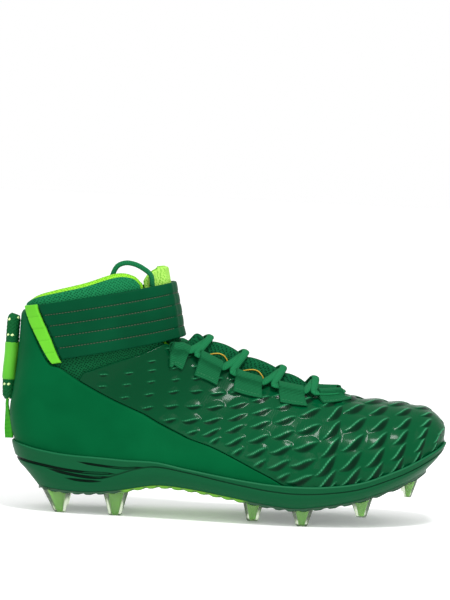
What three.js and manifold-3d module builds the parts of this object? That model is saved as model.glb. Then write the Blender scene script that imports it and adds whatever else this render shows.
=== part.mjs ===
// Studded mid-top sports shoe with an ankle strap, right foot, in millimetres, +Z up, toe towards +X.
// The lateral side faces -Y. The shoe stands on the tips of its studs.
import * as THREE from 'three';
import { mergeVertices } from 'three/addons/utils/BufferGeometryUtils.js';
import Module from 'manifold-3d';

const wasm = await Module();
wasm.setup();

// Driving sizes of the last
const shoeLength = 298;
const ballWidth = 98.5;
const heelWidth = 69;
const instepHeight = 95.8;
const shaftRise = 37;
const toeSwing = 8;

// Driving sizes of the sole
const studLength = 10.2;
const plateThickness = 2;
const floorThickness = 3.5;
const toeFloor = 3;
const archRise = 10.5;
const toeSpring = 37.5;
const heelWallHeight = 25;
const wallThickness = 1.6;
const heelTuck = 21.5;
const sideTuck = 7;
const toeTuck = 12;
const grooveDepth = 1.1;
const insoleThickness = 4;

// Driving sizes of the upper and what lies on it
const clearance = 0.3;
const featherGap = 0.6;
const overlayGap = 0.5;
const upperSet = 0.35;
const quarterGap = 0.8;
const strapGap = 0.5;
const throatSet = 0.9;
const skinFoot = 4;
const upperWall = 2;
const cuffWall = 5.5;
const skinThickness = 1.2;
const quarterThickness = 1.6;
const strapThickness = 2.5;
const strapChannelDepth = 0.7;
const tapeThickness = 2.9;
const tongueThickness = 4.5;
const laceDiameter = 3.4;
const keeperThickness = 1.1;
const keeperDepth = 14;
const ropeDiameter = 7.2;
const sleeveWall = 0.8;
const ribbonWidth = 12;
const ribbonThickness = 1.4;

// Underside of the sole along the shoe: shares of the length, the arch's rise and the toe spring
const soleRows = [
  { along: 0, arch: 0.72, toe: 0 },
  { along: 0.07, arch: 0.46, toe: 0 },
  { along: 0.17, arch: 0.32, toe: 0 },
  { along: 0.25, arch: 0.55, toe: 0 },
  { along: 0.335, arch: 1, toe: 0 },
  { along: 0.4, arch: 0.93, toe: 0 },
  { along: 0.5, arch: 0.53, toe: 0 },
  { along: 0.585, arch: 0.16, toe: 0 },
  { along: 0.655, arch: 0, toe: 0 },
  { along: 0.72, arch: 0, toe: 0.06 },
  { along: 0.79, arch: 0, toe: 0.17 },
  { along: 0.855, arch: 0, toe: 0.34 },
  { along: 0.92, arch: 0, toe: 0.555 },
  { along: 0.97, arch: 0, toe: 0.8 },
  { along: 1, arch: 0, toe: 1 },
];

// Height of the sole's side wall: shares of the wall at the heel
const wallRows = [
  { along: 0, tall: 1.04 },
  { along: 0.1, tall: 0.98 },
  { along: 0.2, tall: 0.93 },
  { along: 0.335, tall: 0.62 },
  { along: 0.4, tall: 0.52 },
  { along: 0.5, tall: 0.51 },
  { along: 0.575, tall: 0.545 },
  { along: 0.655, tall: 0.585 },
  { along: 0.72, tall: 0.52 },
  { along: 0.8, tall: 0.46 },
  { along: 0.87, tall: 0.46 },
  { along: 0.94, tall: 0.45 },
  { along: 1, tall: 0.34 },
];

// Steps of the side wall from its top edge down: shares of its height, of the tuck at the heel and
// along the sides, and of the groove
const wallLevels = [
  { drop: 0, heel: 0, side: 0, groove: 0 },
  { drop: 0.12, heel: 0.01, side: 0.01, groove: 0 },
  { drop: 0.31, heel: 0.08, side: 0.05, groove: 0 },
  { drop: 0.36, heel: 0.11, side: 0.07, groove: 1 },
  { drop: 0.41, heel: 0.14, side: 0.08, groove: 0 },
  { drop: 0.54, heel: 0.26, side: 0.16, groove: 0 },
  { drop: 0.59, heel: 0.32, side: 0.2, groove: 1 },
  { drop: 0.64, heel: 0.42, side: 0.27, groove: 0 },
  { drop: 0.82, heel: 0.7, side: 0.55, groove: 0 },
  { drop: 1, heel: 1, side: 1, groove: 0 },
];

// Sections of the last, from the collar over the heel to the toe. Each runs from a front or top point
// to a back or bottom point: shares of the length, instep and shaft; half widths as shares of heel and
// ball; swing of the centre line; skew of the widest place; roundness of the front and back halves.
const lastRows = [
  { frontX: 0.339, frontUp: 1, frontShaft: 1.457, backX: 0.0285, backUp: 0.79, backShaft: 1.586,
    heel: 0.522, lateral: 0, medial: 0, swing: 0, skew: 0.1, roundFront: 0.9, roundBack: 0.85 },
  { frontX: 0.351, frontUp: 1, frontShaft: 1, backX: 0.017, backUp: 0.79, backShaft: 1.078,
    heel: 0.529, lateral: 0, medial: 0, swing: 0, skew: 0.1, roundFront: 0.9, roundBack: 0.85 },
  { frontX: 0.366, frontUp: 1, frontShaft: 0.495, backX: 0.0135, backUp: 0.79, backShaft: 0.543,
    heel: 0.522, lateral: 0, medial: 0, swing: 0, skew: 0.15, roundFront: 0.93, roundBack: 0.85 },
  { frontX: 0.381, frontUp: 1, frontShaft: 0, backX: 0.01, backUp: 0.79, backShaft: 0,
    heel: 0.507, lateral: 0, medial: 0, swing: 0, skew: 0.3, roundFront: 1, roundBack: 0.85 },
  { frontX: 0.408, frontUp: 0.955, frontShaft: 0, backX: 0.0035, backUp: 0.604, backShaft: 0,
    heel: 0.5, lateral: 0, medial: 0, swing: 0, skew: 0.45, roundFront: 1.1, roundBack: 0.85 },
  { frontX: 0.44, frontUp: 0.93, frontShaft: 0, backX: -0.002, backUp: 0.439, backShaft: 0,
    heel: 0.493, lateral: 0, medial: 0, swing: 0, skew: 0.5, roundFront: 1.15, roundBack: 0.85 },
  { frontX: 0.475, frontUp: 0.91, frontShaft: 0, backX: 0.0107, backUp: 0.262, backShaft: 0,
    heel: 0.493, lateral: 0, medial: 0, swing: 0, skew: 0.55, roundFront: 1.18, roundBack: 0.82 },
  { frontX: 0.512, frontUp: 0.881, frontShaft: 0, backX: 0.045, backUp: 0.1, backShaft: 0,
    heel: 0.497, lateral: 0, medial: 0, swing: 0, skew: 0.6, roundFront: 1.2, roundBack: 0.78 },
  { frontX: 0.552, frontUp: 0.854, frontShaft: 0, backX: 0.1, backUp: -0.026, backShaft: 0,
    heel: 0, lateral: 0.365, medial: 0.35, swing: 0, skew: 0.68, roundFront: 1.2, roundBack: 0.7 },
  { frontX: 0.594, frontUp: 0.827, frontShaft: 0, backX: 0.208, backUp: -0.026, backShaft: 0,
    heel: 0, lateral: 0.391, medial: 0.355, swing: 0, skew: 0.75, roundFront: 1.18, roundBack: 0.62 },
  { frontX: 0.638, frontUp: 0.792, frontShaft: 0, backX: 0.369, backUp: -0.026, backShaft: 0,
    heel: 0, lateral: 0.437, medial: 0.386, swing: 0, skew: 0.8, roundFront: 1.15, roundBack: 0.58 },
  { frontX: 0.685, frontUp: 0.752, frontShaft: 0, backX: 0.52, backUp: -0.026, backShaft: 0,
    heel: 0, lateral: 0.487, medial: 0.442, swing: 0.06, skew: 0.82, roundFront: 1.1, roundBack: 0.55 },
  { frontX: 0.735, frontUp: 0.699, frontShaft: 0, backX: 0.644, backUp: -0.026, backShaft: 0,
    heel: 0, lateral: 0.508, medial: 0.492, swing: 0.19, skew: 0.82, roundFront: 1.05, roundBack: 0.55 },
  { frontX: 0.792, frontUp: 0.635, frontShaft: 0, backX: 0.745, backUp: -0.026, backShaft: 0,
    heel: 0, lateral: 0.492, medial: 0.503, swing: 0.375, skew: 0.8, roundFront: 1, roundBack: 0.55 },
  { frontX: 0.852, frontUp: 0.558, frontShaft: 0, backX: 0.8255, backUp: -0.026, backShaft: 0,
    heel: 0, lateral: 0.457, medial: 0.472, swing: 0.56, skew: 0.75, roundFront: 0.95, roundBack: 0.6 },
  { frontX: 0.909, frontUp: 0.463, frontShaft: 0, backX: 0.889, backUp: -0.026, backShaft: 0,
    heel: 0, lateral: 0.396, medial: 0.406, swing: 0.75, skew: 0.65, roundFront: 0.9, roundBack: 0.65 },
  { frontX: 0.96, frontUp: 0.319, frontShaft: 0, backX: 0.94, backUp: -0.026, backShaft: 0,
    heel: 0, lateral: 0.305, medial: 0.315, swing: 0.88, skew: 0.5, roundFront: 0.85, roundBack: 0.7 },
  { frontX: 0.989, frontUp: 0.134, frontShaft: 0, backX: 0.968, backUp: -0.026, backShaft: 0,
    heel: 0, lateral: 0.178, medial: 0.183, swing: 0.98, skew: 0.3, roundFront: 0.8, roundBack: 0.75 },
  { frontX: 0.978, frontUp: 0, frontShaft: 0, backX: 0.978, backUp: 0, backShaft: 0,
    heel: 0, lateral: 0, medial: 0, swing: 1, skew: 0.2, roundFront: 0.8, roundBack: 0.8 },
];
const toeRow = lastRows.length - 1;

// Places on the last are a section number and an angle from the front line (0) to the back line (pi),
// negative on the lateral side.
const strapTop = 1;
const strapBottom = 3;
const throatFront = 12.6;
const throatRows = [
  { at: 0, turn: 0.9 },
  { at: 1, turn: 0.88 },
  { at: 2, turn: 0.76 },
  { at: 3, turn: 0.6 },
  { at: 4, turn: 0.47 },
  { at: 5, turn: 0.43 },
  { at: 8, turn: 0.385 },
  { at: 10, turn: 0.36 },
  { at: 11.2, turn: 0.31 },
  { at: 12, turn: 0.2 },
  { at: throatFront, turn: 0 },
];

// Rim of the cuff: section number over the angle
const rimRows = [
  { turn: 0.9, at: 0.75 },
  { turn: 1.02, at: 0.42 },
  { turn: 1.25, at: 0.26 },
  { turn: 1.7, at: 0.42 },
  { turn: 2.2, at: 0.5 },
  { turn: 2.6, at: 0.58 },
  { turn: Math.PI, at: 0.82 },
];

// Side-view lines of the overlays, as shares of the length and of the instep height above the bed
const quarterTopBack = { x: 0.0105, up: 1.165 };
const quarterLine = [
  { x: 0.104, up: 0.84 },
  { x: 0.134, up: 0.792 },
  { x: 0.161, up: 0.739 },
  { x: 0.21, up: 0.648 },
  { x: 0.268, up: 0.54 },
  { x: 0.31, up: 0.456 },
  { x: 0.353, up: 0.378 },
  { x: 0.39, up: 0.33 },
  { x: 0.43, up: 0.296 },
  { x: 0.48, up: 0.265 },
  { x: 0.54, up: 0.214 },
  { x: 0.605, up: 0.15 },
  { x: 0.65, up: 0.085 },
  { x: 0.69, up: 0.015 },
];
const skinTopLine = [
  { x: 0.161, up: 0.808 },
  { x: 0.182, up: 0.83 },
  { x: 0.2325, up: 0.876 },
  { x: 0.284, up: 0.9 },
  { x: 0.33, up: 0.945 },
];

// Lace keepers: first and last section of each pair, from the ankle to the toe
const keeperRows = [
  { from: 3.25, to: 4.4 },
  { from: 5.2, to: 6.65 },
  { from: 7.5, to: 8.85 },
  { from: 9.6, to: 10.65 },
  { from: 11.25, to: 12.1 },
];

// Studs: share of the length, share of the sole's half width (negative is lateral), size at the root
// and tip along and across the shoe, and how far the tip stays above the ground
const studRows = [
  { name: 'heel_back', along: 0.118, across: 0.7, rootLong: 20, rootWide: 12, tipLong: 8, tipWide: 6, lift: 0 },
  { name: 'heel_front', along: 0.245, across: 0.72, rootLong: 18, rootWide: 11, tipLong: 9, tipWide: 5, lift: 0 },
  { name: 'fore_back', along: 0.558, across: 0.76, rootLong: 14, rootWide: 10, tipLong: 8, tipWide: 5, lift: 1.5 },
  { name: 'fore_ball', along: 0.67, across: 0.84, rootLong: 15, rootWide: 10, tipLong: 8, tipWide: 5, lift: 0 },
  { name: 'fore_front', along: 0.805, across: 0.8, rootLong: 15, rootWide: 9, tipLong: 7, tipWide: 5, lift: 7 },
  { name: 'toe', along: 0.912, across: 0.56, rootLong: 12, rootWide: 8, tipLong: 5, tipWide: 4.5, lift: 20 },
];
const ballDome = { along: 0.6, radius: 7, drop: 5.5 };

// A table's column at a place, by a smooth curve through its rows
function interpolate(rows, key, place, column, flatEnd = false) {
  const last = rows.length - 1;
  const at = Math.min(Math.max(place, rows[0][key]), rows[last][key]);
  let i = 0;
  while (i < last - 1 && at > rows[i + 1][key]) i += 1;
  const slope = (k) => {
    if (k === last && flatEnd) return 0;
    const a = rows[Math.max(k - 1, 0)];
    const b = rows[Math.min(k + 1, last)];
    return (b[column] - a[column]) / (b[key] - a[key]);
  };
  const a = rows[i];
  const b = rows[i + 1];
  const span = b[key] - a[key];
  const t = (at - a[key]) / span;
  const t2 = t * t;
  const t3 = t2 * t;
  return (2 * t3 - 3 * t2 + 1) * a[column] + (t3 - 2 * t2 + t) * span * slope(i)
    + (3 * t2 - 2 * t3) * b[column] + (t3 - t2) * span * slope(i + 1);
}

// Heights of the sole above the ground
const groundRise = studLength + plateThickness + clearance;

function soleBottom(x) {
  const along = x / shoeLength;
  return groundRise + archRise * interpolate(soleRows, 'along', along, 'arch')
    + toeSpring * interpolate(soleRows, 'along', along, 'toe');
}

function wallTop(x) {
  return soleBottom(x) + heelWallHeight * interpolate(wallRows, 'along', x / shoeLength, 'tall');
}

function smooth(low, high, value) {
  const t = Math.min(Math.max((value - low) / (high - low), 0), 1);
  return t * t * (3 - 2 * t);
}

function bed(x) {
  return soleBottom(x) + floorThickness + toeFloor * smooth(0.86, 1, x / shoeLength);
}

// The last
const lastSections = lastRows.map((row, index) => {
  const frontX = row.frontX * shoeLength;
  const backX = row.backX * shoeLength;
  return {
    index,
    frontX,
    backX,
    frontZ: bed(frontX) + row.frontUp * instepHeight + row.frontShaft * shaftRise + (index === toeRow ? featherGap : 0),
    backZ: bed(backX) + row.backUp * instepHeight + row.backShaft * shaftRise + (index === toeRow ? featherGap : 0),
    lateral: row.heel * heelWidth + row.lateral * ballWidth,
    medial: row.heel * heelWidth + row.medial * ballWidth,
    swing: row.swing * toeSwing,
    skew: row.skew,
    roundFront: row.roundFront,
    roundBack: row.roundBack,
  };
});

function section(at) {
  const value = (column, flatEnd) => interpolate(lastSections, 'index', at, column, flatEnd);
  return {
    frontX: value('frontX', true),
    backX: value('backX', true),
    frontZ: value('frontZ'),
    backZ: value('backZ'),
    lateral: value('lateral'),
    medial: value('medial'),
    swing: value('swing'),
    skew: value('skew'),
    roundFront: value('roundFront'),
    roundBack: value('roundBack'),
  };
}

function lastPoint(at, turn) {
  const row = section(at);
  const angle = Math.abs(turn);
  const plain = (1 - Math.cos(angle)) / 2;
  const share = plain + row.skew * plain * (1 - plain);
  const round = angle < Math.PI / 2 ? row.roundFront : row.roundBack;
  const width = Math.max(Math.sin(angle), 0) ** round;
  const half = turn < 0 ? -row.lateral : row.medial;
  return new THREE.Vector3(
    row.frontX + (row.backX - row.frontX) * share,
    row.swing + half * width,
    row.frontZ + (row.backZ - row.frontZ) * share,
  );
}

const normalStep = 0.02;
const poleMargin = 0.06;

function lastNormal(at, turn) {
  if (at > toeRow - poleMargin) return new THREE.Vector3(1, 0, 0);
  const front = Math.abs(turn) < 1e-6;
  if (front || Math.abs(turn) > Math.PI - 1e-6) {
    const run = lastPoint(at + normalStep, turn).sub(lastPoint(Math.max(at - normalStep, 0), turn));
    const sign = front ? 1 : -1;
    return new THREE.Vector3(-sign * run.z, 0, sign * run.x).normalize();
  }
  const side = turn < 0 ? -1 : 1;
  const angle = Math.min(Math.max(Math.abs(turn), 2 * normalStep), Math.PI - 2 * normalStep);
  const along = lastPoint(at + normalStep, side * angle).sub(lastPoint(Math.max(at - normalStep, 0), side * angle));
  const around = lastPoint(at, side * (angle + normalStep)).sub(lastPoint(at, side * (angle - normalStep)));
  return along.cross(around).multiplyScalar(side).normalize();
}

// A point at some distance outside (or, if negative, inside) the last
function place(at, turn, out) {
  return lastPoint(at, turn).addScaledVector(lastNormal(at, turn), out);
}

// Section and angle of the lateral point of the last at a place in the side view
function locate(line) {
  const x = line.x * shoeLength;
  const z = bed(x) + line.up * instepHeight;
  const across = (at) => {
    const row = section(at);
    return (row.backX - row.frontX) * (z - row.frontZ) - (row.backZ - row.frontZ) * (x - row.frontX);
  };
  let low = 0;
  let high = toeRow;
  for (let k = 0; k < 40; k += 1) {
    const middle = (low + high) / 2;
    if (across(middle) > 0) low = middle;
    else high = middle;
  }
  const row = section(low);
  const length = (row.backX - row.frontX) ** 2 + (row.backZ - row.frontZ) ** 2;
  const along = (x - row.frontX) * (row.backX - row.frontX) + (z - row.frontZ) * (row.backZ - row.frontZ);
  const share = Math.min(Math.max(along / length, 0), 1);
  let few = 0;
  let many = 1;
  for (let k = 0; k < 40; k += 1) {
    const middle = (few + many) / 2;
    if (middle + row.skew * middle * (1 - middle) > share) many = middle;
    else few = middle;
  }
  return { at: low, turn: Math.acos(1 - 2 * few) };
}

// Where the last's surface crosses a height, from the heel to the toe
const contourSteps = 400;

function contour(height) {
  const found = [];
  const error = (at, turn) => {
    const point = lastPoint(at, turn);
    return point.z - height(point.x);
  };
  for (let k = 0; k < contourSteps; k += 1) {
    const at = toeRow * (k / contourSteps);
    if (error(at, Math.PI) > 0 || error(at, 0) < 0) continue;
    let low = 0;
    let high = Math.PI;
    for (let n = 0; n < 40; n += 1) {
      const middle = (low + high) / 2;
      if (error(at, middle) > 0) low = middle;
      else high = middle;
    }
    found.push({ at, turn: low });
  }
  const edge = (turn, inside, outside) => {
    let low = inside;
    let high = outside;
    for (let n = 0; n < 40; n += 1) {
      const middle = (low + high) / 2;
      const hit = turn > 1 ? error(middle, turn) <= 0 : error(middle, turn) >= 0;
      if (hit) low = middle;
      else high = middle;
    }
    return { at: low, turn };
  };
  const first = found[0].at;
  const last = found[found.length - 1].at;
  found.unshift(edge(Math.PI, first, first - toeRow / contourSteps));
  const step = toeRow / contourSteps;
  if (last > toeRow - 1.5 * step) found.push({ at: toeRow, turn: found[found.length - 1].turn });
  else found.push(edge(0, last, last + step));
  return found;
}

const featherLine = contour((x) => bed(x) + featherGap);
const skinFootLine = contour((x) => bed(x) + skinFoot);
const wallLine = (share) => contour((x) => bed(x) + (wallTop(x) - bed(x)) * share);
const rimLine = contour(wallTop);
const heelFeather = featherLine[0].at;

// The angle of a line around the last at a section
function lineTurn(line, at) {
  if (at <= line[0].at) return Math.PI;
  let k = 1;
  while (k < line.length - 1 && line[k].at < at) k += 1;
  const a = line[k - 1];
  const b = line[k];
  const share = Math.min(Math.max((at - a.at) / (b.at - a.at), 0), 1);
  return a.turn + (b.turn - a.turn) * share;
}

function throatTurn(at) {
  return at >= throatFront ? 0 : Math.max(interpolate(throatRows, 'at', at, 'turn'), 0);
}

// Solids from welded triangles
const weld = 1e-4;

function solid(points, triangles) {
  const geometry = new THREE.BufferGeometry();
  const used = triangles.filter(([a, b, c]) => points[a].distanceTo(points[b]) > weld
    && points[b].distanceTo(points[c]) > weld && points[c].distanceTo(points[a]) > weld);
  const flat = points.flatMap((p) => [p.x, p.y, p.z]);
  geometry.setAttribute('position', new THREE.Float32BufferAttribute(flat, 3));
  geometry.setIndex(used.flat());
  return outward(mergeVertices(geometry, weld));
}

function outward(geometry) {
  const position = geometry.getAttribute('position');
  const index = geometry.getIndex().array;
  const corner = (k) => new THREE.Vector3().fromBufferAttribute(position, index[k]);
  let volume = 0;
  for (let k = 0; k < index.length; k += 3) volume += corner(k).dot(corner(k + 1).cross(corner(k + 2)));
  if (volume < 0) {
    for (let k = 0; k < index.length; k += 3) [index[k], index[k + 1]] = [index[k + 1], index[k]];
  }
  return geometry;
}

function toManifold(geometry) {
  const bare = geometry.clone();
  bare.deleteAttribute('normal');
  bare.deleteAttribute('uv');
  const merged = mergeVertices(bare, weld);
  return new wasm.Manifold(new wasm.Mesh({
    numProp: 3,
    vertProperties: new Float32Array(merged.getAttribute('position').array),
    triVerts: new Uint32Array(merged.getIndex().array),
  }));
}

function fromManifold(body) {
  const mesh = body.getMesh();
  const geometry = new THREE.BufferGeometry();
  geometry.setAttribute('position', new THREE.Float32BufferAttribute(Array.from(mesh.vertProperties), 3));
  geometry.setIndex(Array.from(mesh.triVerts));
  return outward(geometry);
}

const onMeridian = (a, b) => {
  const middle = (turn) => (Math.abs(turn) < 1e-6 ? 1 : Math.abs(turn) > Math.PI - 1e-6 ? 2 : 0);
  return middle(a.turn) > 0 && middle(a.turn) === middle(b.turn);
};

// A shell over grids of places on the last. Two grids that meet on the middle line are joined there.
function shell(grids, outer, inner) {
  const points = [];
  const triangles = [];
  for (const grid of grids) {
    const rows = grid.length - 1;
    const columns = grid[0].length - 1;
    const start = points.length;
    grid.forEach((row) => row.forEach((p) => points.push(place(p.at, p.turn, outer(p)))));
    const below = points.length - start;
    grid.forEach((row) => row.forEach((p) => points.push(place(p.at, p.turn, inner(p)))));
    const id = (i, j) => start + i * (columns + 1) + j;
    const middleRow = Math.floor(rows / 2);
    const middleColumn = Math.floor(columns / 2);
    const origin = points[id(middleRow, middleColumn)];
    const facing = points[id(middleRow + 1, middleColumn)].clone().sub(origin)
      .cross(points[id(middleRow, middleColumn + 1)].clone().sub(origin))
      .dot(lastNormal(grid[middleRow][middleColumn].at, grid[middleRow][middleColumn].turn)) > 0;
    const face = (a, b, c) => triangles.push(facing ? [a, b, c] : [a, c, b]);
    const quad = (a, b, c, d) => {
      face(a, b, c);
      face(a, c, d);
    };
    for (let i = 0; i < rows; i += 1) {
      for (let j = 0; j < columns; j += 1) {
        quad(id(i, j), id(i + 1, j), id(i + 1, j + 1), id(i, j + 1));
        quad(id(i, j + 1) + below, id(i + 1, j + 1) + below, id(i + 1, j) + below, id(i, j) + below);
      }
    }
    const edge = (i, j, k, l) => {
      if (grids.length === 2 && onMeridian(grid[i][j], grid[k][l])) return;
      quad(id(i, j) + below, id(k, l) + below, id(k, l), id(i, j));
    };
    for (let i = 0; i < rows; i += 1) {
      edge(i, 0, i + 1, 0);
      edge(i + 1, columns, i, columns);
    }
    for (let j = 0; j < columns; j += 1) {
      edge(0, j + 1, 0, j);
      edge(rows, j, rows, j + 1);
    }
  }
  return solid(points, triangles);
}

const steps = (from, to, count) => Array.from({ length: count + 1 }, (_, k) => from + (to - from) * (k / count));

// Stations along each side of the shoe, from the heel's middle round to the toe's
const heelPivot = 35;
const toePivot = 248;
const toeArc = 48;

function station(point) {
  if (point.x < heelPivot) {
    const angle = Math.atan2(heelPivot - point.x, Math.abs(point.y));
    return heelPivot - heelPivot * (angle / (Math.PI / 2));
  }
  if (point.x > toePivot) {
    const angle = Math.atan2(point.x - toePivot, Math.abs(point.y - toeSwing));
    return toePivot + toeArc * (angle / (Math.PI / 2));
  }
  return point.x;
}

const stations = [
  ...steps(0, heelPivot, 5),
  ...steps(heelPivot, toePivot, 11).slice(1),
  ...steps(toePivot, toePivot + toeArc, 6).slice(1),
];

// The places of a line on the last at the stations
function atStations(line, side) {
  const dense = line.map((p) => ({ ...p, mark: station(lastPoint(p.at, side * p.turn)) }));
  dense[0].mark = 0;
  dense[dense.length - 1].mark = toePivot + toeArc;
  return stations.map((wanted) => {
    let k = 1;
    while (k < dense.length - 1 && dense[k].mark < wanted) k += 1;
    const a = dense[k - 1];
    const b = dense[k];
    const share = Math.min(Math.max((wanted - a.mark) / (b.mark - a.mark), 0), 1);
    return { at: a.at + (b.at - a.at) * share, turn: a.turn + (b.turn - a.turn) * share };
  });
}

const signed = (grid, side) => grid.map((row) => row.map((p) => ({ at: p.at, turn: side * p.turn })));
const bothSides = (make) => [signed(make(-1), -1), signed(make(1), 1)];

function betweenEdges(inner, outer, columns, bend = () => 0) {
  return inner.map((a, i) => Array.from({ length: columns + 1 }, (_, j) => {
    const share = j / columns;
    const turn = a.turn + (outer[i].turn - a.turn) * share;
    return { at: a.at + (outer[i].at - a.at) * share + bend(i, share, turn), turn };
  }));
}

function relaxed(values, rounds) {
  const even = [...values];
  for (let n = 0; n < rounds; n += 1) {
    for (let k = 1; k < even.length - 1; k += 1) even[k] = even[k] / 2 + (even[k - 1] + even[k + 1]) / 4;
  }
  return even;
}

function pinned(values, wanted) {
  const nearest = values.reduce((best, value, k) => (
    Math.abs(value - wanted) < Math.abs(values[best] - wanted) ? k : best), 0);
  return values.map((value, k) => (k === nearest ? wanted : value));
}

function along(line, share) {
  const at = share * (line.length - 1);
  const k = Math.min(Math.floor(at), line.length - 2);
  const rest = at - k;
  const mix = (key) => line[k][key] + (line[k + 1][key] - line[k][key]) * rest;
  return { at: mix('at'), turn: mix('turn') };
}

// The upper: one wall from the cuff's rim to the feather edge
const wallAt = (p) => upperWall + (cuffWall - upperWall) * (1 - smooth(2.6, 4.2, p.at));
const collarRows = 6;

function upper() {
  const seam = steps(rimRows[0].at, featherLine[0].at, collarRows + 1).map((at) => ({ at, turn: Math.PI }));
  const spacing = [...seam, ...atStations(featherLine, 1).slice(1)].map((p) => p.at);
  const topAt = pinned(relaxed(spacing, 12), throatFront);
  const half = (side) => {
    const bottom = [...seam, ...atStations(featherLine, side).slice(1)];
    const top = topAt.map((at) => ({ at, turn: throatTurn(at) }));
    const rimBend = (i, share, turn) => {
      const fade = 1 - smooth(rimRows[0].at, 4, topAt[i]);
      return (interpolate(rimRows, 'turn', turn, 'at') - rimRows[0].at) * fade;
    };
    return betweenEdges(top, bottom, 10, rimBend);
  };
  const outside = (p) => -upperSet - throatSet * smooth(11.4, 12.2, p.at) * (1 - smooth(13, 14, p.at));
  return shell(bothSides(half), outside, (p) => outside(p) + upperSet - wallAt(p));
}

// The glossy forefoot skin and the smooth quarter meet along one diagonal, with a fine gap between them
const tapeBack = { top: 2.79, bottom: 2.07 };
const strapShare = (at) => (at - strapTop) / (strapBottom - strapTop);
const strapTurn = (end, at) => end.top + (end.bottom - end.top) * strapShare(at);
const tapeSections = [1.15, 1.5, 1.9, 2.3, 2.7, 3, 3.26];
const cutTurn = 0.012;

function lineMeets(line, target) {
  const index = line.findIndex((p) => p.turn >= lineTurn(target, p.at));
  const a = line[index - 1];
  const b = line[index];
  const miss = (p) => lineTurn(target, p.at) - p.turn;
  const share = miss(a) / (miss(a) - miss(b));
  const at = a.at + (b.at - a.at) * share;
  return { index, place: { at, turn: lineTurn(target, at) } };
}

const quarterPlaces = quarterLine.map(locate);
const quarterMeets = lineMeets(quarterPlaces, skinFootLine);
const quarterEnd = quarterMeets.place;
const diagonal = [...quarterPlaces.slice(0, quarterMeets.index), quarterEnd];

// The skin's foot line at the stations before or after the end of the diagonal
function footBefore(side) {
  return atStations(skinFootLine, side).filter((p) => p.at < quarterEnd.at - 0.1);
}

function footAfter(side) {
  return atStations(skinFootLine, side).filter((p) => p.at > quarterEnd.at + 0.15);
}

function quarterPanel() {
  const tapeEdge = tapeSections.map((at) => ({ at, turn: strapTurn(tapeBack, at) + 0.045 }));
  const front = [...tapeEdge, ...diagonal];
  const half = (side) => {
    const foot = footBefore(side);
    const seamCount = front.length - foot.length - 1;
    const backAt = locate(quarterTopBack).at;
    const seam = steps(backAt, skinFootLine[0].at, seamCount).slice(0, -1).map((at) => ({ at, turn: Math.PI }));
    return betweenEdges(front, [...seam, ...foot, quarterEnd], 5);
  };
  return shell(bothSides(half), () => quarterGap + quarterThickness, () => quarterGap);
}

function forefootSkin() {
  const corner = locate(skinTopLine[0]);
  const startAt = strapBottom + 0.16;
  const endAt = skinFootLine[skinFootLine.length - 1].at;
  const hem = [{ at: startAt, turn: throatTurn(startAt) + cutTurn }, ...skinTopLine.map(locate).reverse()];
  const aside = (p) => ({ at: p.at + 0.025, turn: p.turn - cutTurn });
  const lower = [corner, ...diagonal.slice(2).map(aside)];
  const half = (side) => {
    const bottom = [...lower, ...footAfter(side)];
    const topAt = pinned(steps(startAt, endAt, bottom.length - 1), throatFront);
    const top = topAt.map((at) => ({ at, turn: at < throatFront ? throatTurn(at) + cutTurn : 0 }));
    const grid = betweenEdges(top, bottom, 9);
    const fadeRows = 4;
    const first = grid[0].map((p) => ({ ...p }));
    return grid.map((row, i) => row.map((p, j) => {
      if (i >= fadeRows) return p;
      const wanted = along(hem, j / (row.length - 1));
      const weight = 1 - i / fadeRows;
      return { at: p.at + (wanted.at - first[j].at) * weight, turn: p.turn + (wanted.turn - first[j].turn) * weight };
    }));
  };
  return shell(bothSides(half), () => overlayGap + skinThickness, () => overlayGap);
}

// The ankle strap, pillowed between its stitched channels, and the tape on its free end
const strapBands = 5;
const strapEnd = { top: 2.43, bottom: 1.9 };
const strapMedialEnd = { top: 2.42, bottom: 2.05 };
const tapeOverhang = { top: 0.02, bottom: 0.14 };
const tapeGapTurn = 0.02;

function ankleStrap() {
  const sections = steps(strapTop, strapBottom, 2 * strapBands);
  const grid = sections.map((at) => steps(-strapTurn(strapEnd, at), strapTurn(strapMedialEnd, at), 16)
    .map((turn) => ({ at, turn })));
  const crown = (p) => {
    const wave = Math.abs(Math.sin(Math.PI * strapBands * strapShare(p.at)));
    return strapGap + strapThickness - strapChannelDepth * (1 - wave);
  };
  return shell([grid], crown, () => strapGap);
}

function strapTape() {
  const grid = steps(strapTop - tapeOverhang.top, strapBottom + tapeOverhang.bottom, 5).map((at) => steps(
    -strapTurn(tapeBack, at), -strapTurn(strapEnd, at) - tapeGapTurn, 2).map((turn) => ({ at, turn })));
  return shell([grid], () => strapGap + tapeThickness, () => strapGap);
}

// The tongue: full between the cuff's flaps, crowned under the laces, thin under the edges of the throat
const tongueTopAt = 0.34;
const tongueEndAt = 11.9;
const tongueCrown = 6.6;
const tongueThinning = 0.4;

function tongueOut(p) {
  const turn = Math.abs(p.turn);
  const inCollar = -0.7 - 3.4 * smooth(0.3, 0.5, turn);
  const share = smooth(strapBottom + 0.1, 4, p.at) * (1 - 0.65 * smooth(9, tongueEndAt, p.at));
  const crown = tongueCrown * share * (1 - smooth(0, 0.29, turn));
  const underLaces = crown - (upperWall + 1) - 0.9 * smooth(10.4, tongueEndAt, p.at);
  return inCollar + (underLaces - inCollar) * smooth(2.5, 3.5, p.at);
}

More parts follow.
